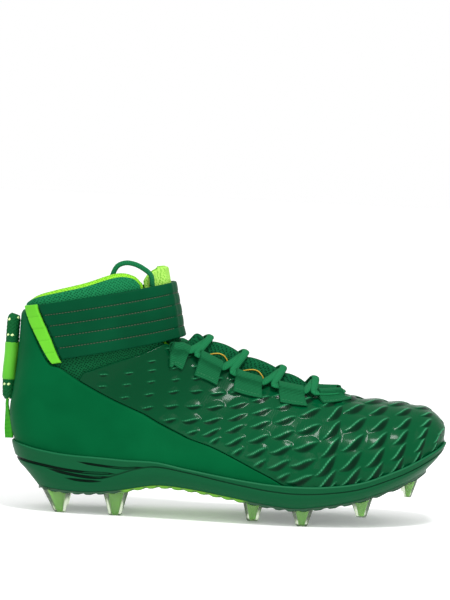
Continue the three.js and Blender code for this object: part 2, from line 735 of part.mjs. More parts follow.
function tongue() {
  const sections = [tongueTopAt, 0.6, 1, 1.7, 2.4, 3, 3.5, 4.2, 5.2, 6.4, 7.6, 8.8, 10, 11.1, tongueEndAt];
  const half = (at) => {
    const tucked = at < 3 ? -0.12 : 0.14;
    const fromThroat = throatTurn(at) - 0.12 + (tucked + 0.12) * smooth(3.4, 4.6, at);
    const rounded = Math.sqrt(Math.max(1 - ((tongueTopAt + 0.5 - at) / 0.5) ** 2, 0.3));
    return fromThroat * (at < tongueTopAt + 0.5 ? rounded : 1);
  };
  const grid = sections.map((at) => steps(-half(at), half(at), 8).map((turn) => ({ at, turn })));
  const low = (p) => Math.min(tongueOut(p), -upperWall + 1);
  const deep = (p) => low(p) - tongueThickness * (1 - tongueThinning * smooth(10, 12, p.at));
  return shell([grid], tongueOut, deep);
}

// A folded webbing keeper with a tunnel for the lace, laid over the edge of the skin
const keeperSeat = overlayGap + skinThickness + 0.75;
const tunnelHeight = laceDiameter + 0.8;
const tunnelLength = laceDiameter + 2;
const frontKeeperShare = 0.62;

function keeperShape() {
  const top = tunnelHeight + 2 * keeperThickness;
  const front = -2;
  const bulge = front + tunnelLength + 2 * keeperThickness;
  const shape = new THREE.Shape();
  shape.moveTo(keeperDepth, 0);
  shape.lineTo(keeperDepth, keeperThickness);
  shape.lineTo((keeperDepth + bulge + 2) / 2, keeperThickness + 0.2);
  shape.lineTo(bulge + 2, keeperThickness + 0.4);
  shape.lineTo(bulge, top * 0.6);
  shape.lineTo(bulge - 2, top);
  shape.lineTo(front + 2, top);
  shape.lineTo(front, top * 0.6);
  shape.lineTo(front + 0.6, 0);
  shape.lineTo(keeperDepth * 0.22, 0);
  shape.lineTo(keeperDepth * 0.48, 0);
  shape.lineTo(keeperDepth * 0.74, 0);
  const hole = new THREE.Path();
  hole.moveTo(front + keeperThickness + 0.3, keeperThickness + tunnelHeight * 0.5);
  hole.lineTo(front + keeperThickness + 1.4, keeperThickness + tunnelHeight);
  hole.lineTo(bulge - keeperThickness - 1.4, keeperThickness + tunnelHeight);
  hole.lineTo(bulge - keeperThickness - 0.3, keeperThickness + tunnelHeight * 0.5);
  hole.lineTo(bulge - keeperThickness - 1.2, keeperThickness);
  hole.lineTo(front + keeperThickness + 1.2, keeperThickness);
  shape.holes.push(hole);
  return shape;
}

// A place at a distance from the throat's edge, square to the edge
const edgeStep = 0.1;

function besideThroat(at, across) {
  const edge = (station) => throatTurn(station) + cutTurn;
  const turn = edge(at);
  const run = lastPoint(at + edgeStep, edge(at + edgeStep)).sub(lastPoint(at - edgeStep, edge(at - edgeStep)));
  const alongSection = lastPoint(at, turn + edgeStep).sub(lastPoint(at, turn - edgeStep)).divideScalar(2 * edgeStep);
  const overSections = lastPoint(at + edgeStep, turn).sub(lastPoint(at - edgeStep, turn)).divideScalar(2 * edgeStep);
  const slant = -alongSection.dot(run) / overSections.dot(run);
  const length = alongSection.addScaledVector(overSections, slant).length();
  return { at: at + slant * (across / length), turn: turn + across / length };
}

function laceKeeper(row, side) {
  const block = new THREE.ExtrudeGeometry(keeperShape(), { depth: 1, steps: 2, bevelEnabled: false });
  const position = block.getAttribute('position');
  const short = row.to > throatFront - 1 ? frontKeeperShare : 1;
  const points = Array.from({ length: position.count }, (_, k) => {
    const at = row.from + (row.to - row.from) * position.getZ(k);
    const across = position.getX(k) * (position.getX(k) > 0 ? short : 1);
    const spot = besideThroat(at, across);
    return place(spot.at, side * spot.turn, keeperSeat + position.getY(k));
  });
  const triangles = Array.from({ length: position.count / 3 }, (_, k) => [3 * k, 3 * k + 1, 3 * k + 2]);
  return solid(points, triangles);
}

// Laces
function cord(points, diameter, sides, pieces) {
  const section2d = new THREE.Shape();
  for (let k = 0; k < sides; k += 1) {
    const angle = (2 * Math.PI * k) / sides;
    const at = [Math.cos(angle) * diameter / 2, Math.sin(angle) * diameter / 2];
    if (k === 0) section2d.moveTo(...at);
    else section2d.lineTo(...at);
  }
  const path = new THREE.CatmullRomCurve3(points);
  return new THREE.ExtrudeGeometry(section2d, { steps: pieces, bevelEnabled: false, extrudePath: path });
}

const keeperToLace = 1.45;
const laceAside = 1.1;
const crossingRise = 1.3;

function laceCrossing(upperKeeper, lowerKeeper) {
  const seat = keeperSeat + keeperThickness + tunnelHeight / 2;
  const end = (at, side) => {
    const spot = besideThroat(at, laceAside);
    return place(spot.at, side * spot.turn, seat);
  };
  const perSection = lastPoint(lowerKeeper.from, 0).distanceTo(lastPoint(lowerKeeper.from - 1, 0));
  const startAt = lowerKeeper.from - keeperToLace / perSection;
  const endAt = upperKeeper.to + keeperToLace / perSection;
  const bendStart = startAt - 1 / perSection;
  const bendEnd = endAt + 1 / perSection;
  const middleAt = (startAt + endAt) / 2;
  const strand = (side) => {
    const points = [
      end(startAt, side),
      end(bendStart, side),
      place(middleAt, 0, seat + crossingRise),
      end(bendEnd, -side),
      end(endAt, -side),
    ];
    return toManifold(cord(points, laceDiameter, 8, 5));
  };
  return fromManifold(strand(-1).add(strand(1)));
}

const loopUnderStrap = -2.2;
const loopInCollar = -(cuffWall + laceDiameter / 2 + clearance + 0.4);
const laceLoopPoints = [
  place(1.45, -0.66, loopUnderStrap),
  place(1.2, -0.66, loopUnderStrap),
  place(0.95, -0.67, loopUnderStrap),
  new THREE.Vector3(90.2, -23.6, 164.2),
  new THREE.Vector3(84, -24.4, 169),
  new THREE.Vector3(78.4, -24.6, 171.3),
  new THREE.Vector3(72.9, -24.8, 171.8),
  new THREE.Vector3(67.6, -25, 169.6),
  new THREE.Vector3(64.8, -25.2, 164.5),
  place(0.95, -1.36, loopInCollar),
  place(1.25, -1.3, loopInCollar),
];

// Points of one side of a line on the last, pushed out along the surface's normal or level with the ground
function sideOf(line, side, out, level) {
  return atStations(line, side).map((p, k) => {
    const turn = k === 0 ? Math.PI : p.turn;
    const point = lastPoint(p.at, side * turn);
    const normal = lastNormal(p.at, side * turn);
    if (k === 0) normal.set(-1, 0, level ? 0 : normal.z);
    if (k === stations.length - 1) normal.set(1, 0, level ? 0 : normal.z);
    if (level) normal.setZ(0);
    return point.addScaledVector(normal.normalize(), out);
  });
}

function ring(line, out, height) {
  const lateral = sideOf(line, -1, out, Boolean(height));
  const medial = sideOf(line, 1, out, Boolean(height));
  const points = [...lateral, ...medial.slice(1, -1).reverse()];
  points[0].y = 0;
  return points.map((p) => new THREE.Vector3(p.x, p.y, height ? height(p.x) : p.z));
}

const twin = (k) => (k === 0 || k === stations.length - 1 ? k : 2 * (stations.length - 1) - k);

// A closed body through rings of stations, with its first and last ring filled in
function ringBody(rings) {
  const points = rings.flat();
  const size = rings[0].length;
  const triangles = [];
  const quad = (a, b, c, d) => triangles.push([a, b, c], [a, c, d]);
  for (let r = 0; r < rings.length - 1; r += 1) {
    for (let k = 0; k < size; k += 1) {
      const next = (k + 1) % size;
      quad(r * size + k, r * size + next, (r + 1) * size + next, (r + 1) * size + k);
    }
  }
  const last = (rings.length - 1) * size;
  for (let k = 0; k < stations.length - 1; k += 1) {
    quad(twin(k), twin(k + 1), k + 1, k);
    quad(last + k + 1, last + twin(k + 1), last + twin(k), last + k);
  }
  return solid(points, triangles);
}

// How far round the heel or the toe a station is
function tuckAt(k) {
  const value = stations[k < stations.length ? k : twin(k)];
  const heel = value < heelPivot ? Math.sin((1 - value / heelPivot) * (Math.PI / 2)) ** 2 : 0;
  const toe = value > toePivot ? Math.sin(((value - toePivot) / toeArc) * (Math.PI / 2)) ** 2 : 0;
  return { heel, toe };
}

function grooveAt(k) {
  const value = stations[k < stations.length ? k : twin(k)];
  return smooth(0.03, 0.1, value / shoeLength) * (1 - smooth(0.3, 0.4, value / shoeLength));
}

const wallInside = quarterGap + quarterThickness + clearance + 0.4;
const insoleInset = -(upperWall + clearance + 0.4);
const rimRing = ring(rimLine, wallInside + wallThickness, wallTop);

// The rim's ring moved inwards and down
function tuckedRing(level, extra = 0) {
  const centre = (k) => rimRing[(k + 1) % rimRing.length].clone()
    .sub(rimRing[(k + rimRing.length - 1) % rimRing.length]);
  return rimRing.map((p, k) => {
    const run = centre(k).setZ(0).normalize();
    const inward = new THREE.Vector3(-run.y, run.x, 0);
    const { heel, toe } = tuckAt(k);
    const side = sideTuck + (toeTuck - sideTuck) * toe;
    const tuck = level.heel * heelTuck * heel + level.side * side * (1 - heel);
    const distance = tuck + level.groove * grooveDepth * grooveAt(k) + extra;
    const moved = p.clone().addScaledVector(inward, distance);
    const fall = wallTop(p.x) + (soleBottom(moved.x) - wallTop(p.x)) * level.drop;
    return new THREE.Vector3(moved.x, moved.y, fall);
  });
}

function soleTray() {
  const floorRing = ring(featherLine, clearance, bed);
  const inner = [skinFootLine, wallLine(0.45), wallLine(0.72)].map((line) => ring(line, wallInside));
  const innerTop = ring(rimLine, wallInside, wallTop);
  const walls = wallLevels.map((level) => tuckedRing(level));
  const seat = ring(featherLine, insoleInset, bed);
  const plateSeat = plateTop.map((p) => p.clone().setZ(soleBottom(p.x)));
  return ringBody([seat, floorRing, ...inner, innerTop, ...walls, plateSeat]);
}

// The stud plate under the sole, with every stud moulded on
const plateInset = 0.8;
const plateTop = tuckedRing(wallLevels[wallLevels.length - 1], plateInset).map((p) => p.setZ(soleBottom(p.x) - clearance));

function soleHalfWidth(x, side) {
  const near = plateTop.filter((p) => p.y * side > 0);
  return near.reduce((best, p) => (Math.abs(p.x - x) < Math.abs(best.x - x) ? p : best)).y * side;
}

function plateBottom(x) {
  return soleBottom(x) - clearance - plateThickness;
}

const studProfile = [
  { drop: 0, size: 1 },
  { drop: 0.35, size: 0.5 },
  { drop: 1, size: 0 },
];

function stud(row, side) {
  const x = row.along * shoeLength;
  const y = side * row.across * soleHalfWidth(x, side);
  const corners = [[1, 0.45], [0.55, 1], [-0.55, 1], [-1, 0.45], [-1, -0.45], [-0.55, -1], [0.55, -1], [1, -0.45]];
  const levels = studProfile.map((level) => {
    const long = (row.tipLong + (row.rootLong - row.tipLong) * level.size) / 2;
    const wide = (row.tipWide + (row.rootWide - row.tipWide) * level.size) / 2;
    return corners.map(([u, v]) => {
      const root = plateBottom(x + u * long) + plateThickness / 2;
      return new THREE.Vector3(x + u * long, y + v * wide, root + (row.lift - root) * level.drop);
    });
  });
  const triangles = [];
  const count = corners.length;
  levels.slice(1).forEach((_, r) => corners.forEach((__, k) => {
    const next = (k + 1) % count;
    triangles.push([r * count + k, r * count + next, (r + 1) * count + next]);
    triangles.push([r * count + k, (r + 1) * count + next, (r + 1) * count + k]);
  }));
  const end = (levels.length - 1) * count;
  for (let k = 1; k < count - 1; k += 1) triangles.push([0, k + 1, k], [end, end + k, end + k + 1]);
  return toManifold(solid(levels.flat(), triangles));
}

function studPlate() {
  const bottom = plateTop.map((p) => new THREE.Vector3(p.x, p.y, plateBottom(p.x)));
  let body = toManifold(ringBody([plateTop, bottom]));
  for (const row of studRows) {
    for (const side of [-1, 1]) body = body.add(stud(row, side));
  }
  const domeX = ballDome.along * shoeLength;
  const dome = new THREE.SphereGeometry(ballDome.radius, 10, 6);
  dome.scale(1, 1, ballDome.drop / ballDome.radius);
  const domeShape = dome.getAttribute('position');
  for (let k = 0; k < domeShape.count; k += 1) domeShape.setZ(k, Math.min(domeShape.getZ(k), 0));
  dome.translate(domeX, 0, plateBottom(domeX) + plateThickness / 2);
  return fromManifold(body.add(toManifold(dome)));
}

function insole() {
  const low = ring(featherLine, insoleInset, (x) => bed(x) + clearance);
  const high = ring(featherLine, insoleInset, (x) => bed(x) + clearance + insoleThickness);
  return ringBody([high, low]);
}

// The rope handle at the heel, its sleeve and the ribbon under it
const heelSkin = quarterGap + quarterThickness + clearance;

function heelPoint(at, out) {
  return place(at, Math.PI, heelSkin + out);
}

const ropeRows = [
  { at: 1.34, out: 0.56 },
  { at: 1.5, out: 0.72 },
  { at: 1.95, out: 0.74 },
  { at: 2.6, out: 0.68 },
  { at: 3.3, out: 0.68 },
  { at: 3.95, out: 0.66 },
  { at: 4.5, out: 0.56 },
];
const sleeveFrom = 0.33;
const sleeveTo = 0.77;
const sleeveGap = 0.3;

function ropePath() {
  return ropeRows.map((row) => heelPoint(row.at, row.out * ropeDiameter));
}

function ropeCore(share0, share1, diameter, sides, pieces) {
  const curve = new THREE.CatmullRomCurve3(ropePath());
  return cord(steps(share0, share1, 8).map((share) => curve.getPointAt(share)), diameter, sides, pieces);
}

function heelRope() {
  return ropeCore(0, 1, ropeDiameter, 10, 10);
}

function ropeSleeve() {
  const outerTube = toManifold(ropeCore(sleeveFrom, sleeveTo, ropeDiameter + 2 * (sleeveWall + sleeveGap), 10, 5));
  const innerTube = toManifold(ropeCore(sleeveFrom - 0.05, sleeveTo + 0.05, ropeDiameter + 2 * sleeveGap, 10, 6));
  return fromManifold(outerTube.subtract(innerTube));
}

const ribbonRows = [
  { at: 4.72, out: 2.2 },
  { at: 4.9, out: 1.4 },
  { at: 5.15, out: 1 },
  { at: 5.4, out: 1.3 },
  { at: 5.68, out: 2.2 },
  { at: 5.95, out: 3.6 },
];

function heelRibbon() {
  const outlineRow = (row) => heelPoint(row.at, row.out);
  const centre = ribbonRows.map(outlineRow);
  const profile = new THREE.Shape();
  profile.moveTo(-ribbonThickness / 2, -ribbonWidth / 2);
  profile.lineTo(ribbonThickness / 2, -ribbonWidth / 2);
  profile.lineTo(ribbonThickness / 2, ribbonWidth / 2);
  profile.lineTo(-ribbonThickness / 2, ribbonWidth / 2);
  const points = [];
  centre.forEach((p, k) => {
    const run = centre[Math.min(k + 1, centre.length - 1)].clone().sub(centre[Math.max(k - 1, 0)]).normalize();
    const across = new THREE.Vector3(run.z, 0, -run.x);
    profile.getPoints().slice(0, 4).forEach((q) => {
      points.push(p.clone().addScaledVector(across, q.x).add(new THREE.Vector3(0, q.y, 0)));
    });
  });
  const triangles = [];
  for (let r = 0; r < centre.length - 1; r += 1) {
    for (let k = 0; k < 4; k += 1) {
      const next = (k + 1) % 4;
      triangles.push([4 * r + k, 4 * r + next, 4 * r + 4 + next], [4 * r + k, 4 * r + 4 + next, 4 * r + 4 + k]);
    }
  }
  const end = 4 * (centre.length - 1);
  triangles.push([0, 2, 1], [0, 3, 2], [end, end + 1, end + 2], [end, end + 2, end + 3]);
  return solid(points, triangles);
}

// Colours
const finish = (color, roughness) => new THREE.MeshStandardMaterial({ color, roughness, metalness: 0 });
const meshGreen = finish(0x14693f, 0.9);
const glossGreen = finish(0x0c7044, 0.25);
const smoothGreen = finish(0x067540, 0.55);
const darkGreen = finish(0x04552f, 0.5);
const soleGreen = finish(0x125f38, 0.4);
const limeGreen = finish(0x7de02a, 0.5);
const clearLime = finish(0x6fb52a, 0.2);
const laceGreen = finish(0x0b7444, 0.85);

const shoe = new THREE.Group();

function add(name, geometry, material) {
  const bare = geometry.clone();
  bare.deleteAttribute('normal');
  bare.deleteAttribute('uv');
  const mesh = new THREE.Mesh(mergeVertices(bare, weld), material);
  mesh.name = name;
  shoe.add(mesh);
}

add('sole_tray', soleTray(), soleGreen);
add('stud_plate', studPlate(), clearLime);
add('insole', insole(), limeGreen);
add('upper', upper(), meshGreen);
add('forefoot_skin', forefootSkin(), glossGreen);
add('quarter_panel', quarterPanel(), smoothGreen);
add('tongue', tongue(), limeGreen);
add('ankle_strap', ankleStrap(), darkGreen);
add('strap_tape', strapTape(), limeGreen);
keeperRows.forEach((row, k) => {
  add(`keeper_lateral_${k + 1}`, laceKeeper(row, -1), laceGreen);
  add(`keeper_medial_${k + 1}`, laceKeeper(row, 1), laceGreen);
});
keeperRows.slice(1).forEach((row, k) => {
  add(`lace_crossing_${k + 1}`, laceCrossing(keeperRows[k], row), laceGreen);
});
add('lace_loop', cord(laceLoopPoints, laceDiameter, 8, 18), laceGreen);
add('heel_rope', heelRope(), darkGreen);
add('rope_sleeve', ropeSleeve(), limeGreen);
add('heel_ribbon', heelRibbon(), limeGreen);

// The origin is under the middle of the whole shoe, on the ground
const size = new THREE.Box3().setFromObject(shoe);
const middle = size.getCenter(new THREE.Vector3());
shoe.position.set(-middle.x, -middle.y, -size.min.z);
shoe.updateMatrixWorld(true);

export default shoe;
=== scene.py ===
# Studded mid-top sports shoe, right foot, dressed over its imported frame. Metres, +Z up, toe towards +X.
import math

import bmesh
import bpy
import numpy as np
from mathutils import Matrix, Vector


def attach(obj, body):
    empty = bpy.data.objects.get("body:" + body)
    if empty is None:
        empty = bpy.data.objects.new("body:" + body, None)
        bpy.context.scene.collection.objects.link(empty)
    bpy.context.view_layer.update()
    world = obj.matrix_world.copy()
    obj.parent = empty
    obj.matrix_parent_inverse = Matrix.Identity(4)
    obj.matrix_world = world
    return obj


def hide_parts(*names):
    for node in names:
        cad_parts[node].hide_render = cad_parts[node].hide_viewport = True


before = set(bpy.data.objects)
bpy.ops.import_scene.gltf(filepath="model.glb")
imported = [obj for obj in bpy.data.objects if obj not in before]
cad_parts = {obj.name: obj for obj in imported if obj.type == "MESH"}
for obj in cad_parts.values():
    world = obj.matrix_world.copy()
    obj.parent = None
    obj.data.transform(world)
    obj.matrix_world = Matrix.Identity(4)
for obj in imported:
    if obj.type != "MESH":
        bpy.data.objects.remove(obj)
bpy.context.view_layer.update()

MM = 0.001
PI = math.pi

# Camera: the photograph's angle, a little above the ground and rolled with the toe lower
VIEW_RISE = math.radians(3)
VIEW_ROLL = math.radians(2.6)
VIEW_DISTANCE = 2
VIEW_AIM = Vector((-2.2 * MM, -1.83 * MM, 148.4 * MM))
LENS = 175
SENSOR = 36

# The heel's back on the ground, in the frame
HEEL_BACK = np.array([-143.3, -1.83, 0]) * MM

# Driving sizes of the last
SHOE_LENGTH = 298 * MM
BALL_WIDTH = 98.5 * MM
HEEL_WIDTH = 69 * MM
INSTEP_HEIGHT = 95.8 * MM
SHAFT_RISE = 37 * MM
TOE_SWING = 8 * MM

# Driving sizes of the sole
STUD_LENGTH = 10.2 * MM
PLATE_THICKNESS = 2 * MM
FLOOR_THICKNESS = 3.5 * MM
TOE_FLOOR = 3 * MM
ARCH_RISE = 10.5 * MM
TOE_SPRING = 37.5 * MM
HEEL_WALL_HEIGHT = 25 * MM
WALL_THICKNESS = 1.6 * MM
HEEL_TUCK = 21.5 * MM
SIDE_TUCK = 7 * MM
TOE_TUCK = 12 * MM
INSOLE_THICKNESS = 4 * MM

# Driving sizes of the upper and what lies on it
CLEARANCE = 0.3 * MM
FEATHER_GAP = 0.6 * MM
OVERLAY_GAP = 0.5 * MM
UPPER_SET = 0.35 * MM
QUARTER_GAP = 0.8 * MM
STRAP_GAP = 0.5 * MM
SKIN_FOOT = 4 * MM
UPPER_WALL = 2 * MM
CUFF_WALL = 5.5 * MM
SKIN_THICKNESS = 1.2 * MM
QUARTER_THICKNESS = 1.6 * MM
STRAP_THICKNESS = 2.5 * MM
TAPE_THICKNESS = 2.9 * MM
TONGUE_THICKNESS = 4.5 * MM
LACE_DIAMETER = 3.4 * MM
LACE_WIDTH = 5.2 * MM
LACE_THICKNESS = 2.5 * MM
KEEPER_THICKNESS = 1.1 * MM
KEEPER_DEPTH = 14 * MM
ROPE_DIAMETER = 7.2 * MM
RIBBON_WIDTH = 12 * MM
RIBBON_THICKNESS = 1.4 * MM

# Underside of the sole along the shoe: shares of the length, the arch's rise and the toe spring
SOLE_COLUMNS = ("along", "arch", "toe")
SOLE_ROWS = [
    (0, 0.72, 0),
    (0.07, 0.46, 0),
    (0.17, 0.32, 0),
    (0.25, 0.55, 0),
    (0.335, 1, 0),
    (0.4, 0.93, 0),
    (0.5, 0.53, 0),
    (0.585, 0.16, 0),
    (0.655, 0, 0),
    (0.72, 0, 0.06),
    (0.79, 0, 0.17),
    (0.855, 0, 0.34),
    (0.92, 0, 0.555),
    (0.97, 0, 0.8),
    (1, 0, 1),
]

# Height of the sole's side wall: shares of the wall at the heel
WALL_COLUMNS = ("along", "tall")
WALL_ROWS = [
    (0, 1.04),
    (0.1, 0.98),
    (0.2, 0.93),
    (0.335, 0.62),
    (0.4, 0.52),
    (0.5, 0.51),
    (0.575, 0.545),
    (0.655, 0.585),
    (0.72, 0.52),
    (0.8, 0.46),
    (0.87, 0.46),
    (0.94, 0.45),
    (1, 0.34),
]

# How far the side wall tucks in below its top edge: shares of its height and of the tucks
TUCK_COLUMNS = ("drop", "heel", "side")
TUCK_ROWS = [
    (0, 0, 0),
    (0.12, 0.01, 0.01),
    (0.31, 0.08, 0.05),
    (0.41, 0.14, 0.08),
    (0.54, 0.26, 0.16),
    (0.64, 0.42, 0.27),
    (0.82, 0.7, 0.55),
    (1, 1, 1),
]

# Sections of the last from the collar over the heel to the toe, each from a front or top point to a
# back or bottom point: shares of the length, instep and shaft; half widths as shares of heel and ball;
# swing of the centre line; skew of the widest place; roundness of the front and back halves.
LAST_COLUMNS = ("front_x", "front_up", "front_shaft", "back_x", "back_up", "back_shaft",
                "heel", "lateral", "medial", "swing", "skew", "round_front", "round_back")
LAST_ROWS = [
    (0.339, 1, 1.457, 0.0285, 0.79, 1.586, 0.522, 0, 0, 0, 0.1, 0.9, 0.85),
    (0.351, 1, 1, 0.017, 0.79, 1.078, 0.529, 0, 0, 0, 0.1, 0.9, 0.85),
    (0.366, 1, 0.495, 0.0135, 0.79, 0.543, 0.522, 0, 0, 0, 0.15, 0.93, 0.85),
    (0.381, 1, 0, 0.01, 0.79, 0, 0.507, 0, 0, 0, 0.3, 1, 0.85),
    (0.408, 0.955, 0, 0.0035, 0.604, 0, 0.5, 0, 0, 0, 0.45, 1.1, 0.85),
    (0.44, 0.93, 0, -0.002, 0.439, 0, 0.493, 0, 0, 0, 0.5, 1.15, 0.85),
    (0.475, 0.91, 0, 0.0107, 0.262, 0, 0.493, 0, 0, 0, 0.55, 1.18, 0.82),
    (0.512, 0.881, 0, 0.045, 0.1, 0, 0.497, 0, 0, 0, 0.6, 1.2, 0.78),
    (0.552, 0.854, 0, 0.1, -0.026, 0, 0, 0.365, 0.35, 0, 0.68, 1.2, 0.7),
    (0.594, 0.827, 0, 0.208, -0.026, 0, 0, 0.391, 0.355, 0, 0.75, 1.18, 0.62),
    (0.638, 0.792, 0, 0.369, -0.026, 0, 0, 0.437, 0.386, 0, 0.8, 1.15, 0.58),
    (0.685, 0.752, 0, 0.52, -0.026, 0, 0, 0.487, 0.442, 0.06, 0.82, 1.1, 0.55),
    (0.735, 0.699, 0, 0.644, -0.026, 0, 0, 0.508, 0.492, 0.19, 0.82, 1.05, 0.55),
    (0.792, 0.635, 0, 0.745, -0.026, 0, 0, 0.492, 0.503, 0.375, 0.8, 1, 0.55),
    (0.852, 0.558, 0, 0.8255, -0.026, 0, 0, 0.457, 0.472, 0.56, 0.75, 0.95, 0.6),
    (0.909, 0.463, 0, 0.889, -0.026, 0, 0, 0.396, 0.406, 0.75, 0.65, 0.9, 0.65),
    (0.96, 0.319, 0, 0.94, -0.026, 0, 0, 0.305, 0.315, 0.88, 0.5, 0.85, 0.7),
    (0.989, 0.134, 0, 0.968, -0.026, 0, 0, 0.178, 0.183, 0.98, 0.3, 0.8, 0.75),
    (0.978, 0, 0, 0.978, 0, 0, 0, 0, 0, 1, 0.2, 0.8, 0.8),
]
TOE_ROW = len(LAST_ROWS) - 1

# Places on the last are a section number and an angle from the front line (0) to the back line (pi),
# negative on the lateral side.
STRAP_TOP = 1
STRAP_BOTTOM = 3
THROAT_FRONT = 12.6
THROAT_COLUMNS = ("at", "turn")
THROAT_ROWS = [
    (0, 0.9),
    (1, 0.88),
    (2, 0.76),
    (3, 0.6),
    (4, 0.47),
    (5, 0.43),
    (8, 0.385),
    (10, 0.36),
    (11.2, 0.31),
    (12, 0.2),
    (THROAT_FRONT, 0),
]

# Rim of the cuff: section number over the angle
RIM_COLUMNS = ("turn", "at")
RIM_ROWS = [
    (0.9, 0.75),
    (1.02, 0.42),
    (1.25, 0.26),
    (1.7, 0.42),
    (2.2, 0.5),
    (2.6, 0.58),
    (PI, 0.82),
]
RIM_START = RIM_ROWS[0][1]

# Side-view lines of the overlays, as shares of the length and of the instep height above the bed
QUARTER_TOP_BACK = (0.0105, 1.165)
QUARTER_LINE = [
    (0.104, 0.84),
    (0.134, 0.792),
    (0.161, 0.739),
    (0.21, 0.648),
    (0.268, 0.54),
    (0.31, 0.456),
    (0.353, 0.378),
    (0.39, 0.33),
    (0.43, 0.296),
    (0.48, 0.265),
    (0.54, 0.214),
    (0.605, 0.15),
    (0.65, 0.085),
    (0.69, 0.015),
]
SKIN_TOP_LINE = [
    (0.161, 0.808),
    (0.182, 0.83),
    (0.2325, 0.876),
    (0.284, 0.9),
    (0.33, 0.945),
]

# Lace keepers: first and last section of each pair, from the ankle to the toe
KEEPER_ROWS = [
    (3.25, 4.4),
    (5.2, 6.65),
    (7.5, 8.85),
    (9.6, 10.65),
    (11.25, 12.1),
]

# Studs: share of the length, share of the sole's half width, size at the root and tip along and across
# the shoe, and how far the tip stays above the ground
STUD_COLUMNS = ("name", "along", "across", "root_long", "root_wide", "tip_long", "tip_wide", "lift")
STUD_ROWS = [
    ("heel_back", 0.118, 0.7, 20 * MM, 12 * MM, 8 * MM, 6 * MM, 0),
    ("heel_front", 0.245, 0.72, 18 * MM, 11 * MM, 9 * MM, 5 * MM, 0),
    ("fore_back", 0.558, 0.76, 14 * MM, 10 * MM, 8 * MM, 5 * MM, 1.5 * MM),
    ("fore_ball", 0.67, 0.84, 15 * MM, 10 * MM, 8 * MM, 5 * MM, 0),
    ("fore_front", 0.805, 0.8, 15 * MM, 9 * MM, 7 * MM, 5 * MM, 7 * MM),
    ("toe", 0.912, 0.56, 12 * MM, 8 * MM, 5 * MM, 4.5 * MM, 20 * MM),
]
BALL_DOME = {"along": 0.6, "radius": 7 * MM, "drop": 5.5 * MM}


# Curves through tables

def hermite(keys, values, place, flat_end=False):
    """Values at some places, by a smooth curve through a table's rows"""
    keys = np.asarray(keys, float)
    values = np.asarray(values, float)
    slopes = np.empty(len(keys))
    slopes[1:-1] = (values[2:] - values[:-2]) / (keys[2:] - keys[:-2])
    slopes[0] = (values[1] - values[0]) / (keys[1] - keys[0])
    slopes[-1] = 0 if flat_end else (values[-1] - values[-2]) / (keys[-1] - keys[-2])
    at = np.clip(place, keys[0], keys[-1])
    i = np.clip(np.searchsorted(keys, at, side="right") - 1, 0, len(keys) - 2)
    span = keys[i + 1] - keys[i]
    t = (at - keys[i]) / span
    t2 = t * t
    t3 = t2 * t
    return ((2 * t3 - 3 * t2 + 1) * values[i] + (t3 - 2 * t2 + t) * span * slopes[i]
            + (3 * t2 - 2 * t3) * values[i + 1] + (t3 - t2) * span * slopes[i + 1])


def column(rows, columns, name):
    return [row[columns.index(name)] for row in rows]


def table(rows, columns, key, name, place):
    return hermite(column(rows, columns, key), column(rows, columns, name), place)


def smooth(low, high, value):
    t = np.clip((value - low) / (high - low), 0, 1)
    return t * t * (3 - 2 * t)


def unit(vectors):
    return vectors / np.maximum(np.linalg.norm(vectors, axis=-1, keepdims=True), 1e-12)


def paired(first, second):
    """A grid of pairs, such as places on the last, from their first and second values"""
    return np.stack(np.broadcast_arrays(first, second), axis=-1)


# Heights of the sole above the ground

GROUND_RISE = STUD_LENGTH + PLATE_THICKNESS + CLEARANCE


def sole_bottom(x):
    along = x / SHOE_LENGTH
    return (GROUND_RISE + ARCH_RISE * table(SOLE_ROWS, SOLE_COLUMNS, "along", "arch", along)
            + TOE_SPRING * table(SOLE_ROWS, SOLE_COLUMNS, "along", "toe", along))


def wall_top(x):
    tall = table(WALL_ROWS, WALL_COLUMNS, "along", "tall", x / SHOE_LENGTH)
    return sole_bottom(x) + HEEL_WALL_HEIGHT * tall


def bed(x):
    return sole_bottom(x) + FLOOR_THICKNESS + TOE_FLOOR * smooth(0.86, 1, x / SHOE_LENGTH)


# The last

def last_columns():
    share = {name: np.array(column(LAST_ROWS, LAST_COLUMNS, name), float) for name in LAST_COLUMNS}
    front_x = share["front_x"] * SHOE_LENGTH
    back_x = share["back_x"] * SHOE_LENGTH
    feather = np.where(np.arange(TOE_ROW + 1) == TOE_ROW, FEATHER_GAP, 0)

    def height(x, end):
        return bed(x) + share[end + "_up"] * INSTEP_HEIGHT + share[end + "_shaft"] * SHAFT_RISE + feather

    return {
        "front_x": front_x,
        "back_x": back_x,
        "front_z": height(front_x, "front"),
        "back_z": height(back_x, "back"),
        "lateral": share["heel"] * HEEL_WIDTH + share["lateral"] * BALL_WIDTH,
        "medial": share["heel"] * HEEL_WIDTH + share["medial"] * BALL_WIDTH,
        "swing": share["swing"] * TOE_SWING,
        "skew": share["skew"],
        "round_front": share["round_front"],
        "round_back": share["round_back"],
    }


LAST = last_columns()
SECTION_NUMBERS = np.arange(TOE_ROW + 1)
FLAT_AT_TOE = ("front_x", "back_x")


def section(at):
    return {name: hermite(SECTION_NUMBERS, values, at, name in FLAT_AT_TOE)
            for name, values in LAST.items()}


def last_point(at, turn):
    at, turn = np.broadcast_arrays(np.asarray(at, float), np.asarray(turn, float))
    row = section(at)
    angle = np.abs(turn)
    plain = (1 - np.cos(angle)) / 2
    share = plain + row["skew"] * plain * (1 - plain)
    roundness = np.where(angle < PI / 2, row["round_front"], row["round_back"])
    width = np.maximum(np.sin(angle), 0) ** roundness
    half = np.where(turn < 0, -row["lateral"], row["medial"])
    return np.stack([
        row["front_x"] + (row["back_x"] - row["front_x"]) * share,
        row["swing"] + half * width,
        row["front_z"] + (row["back_z"] - row["front_z"]) * share,
    ], axis=-1)


NORMAL_STEP = 0.02
POLE_MARGIN = 0.06


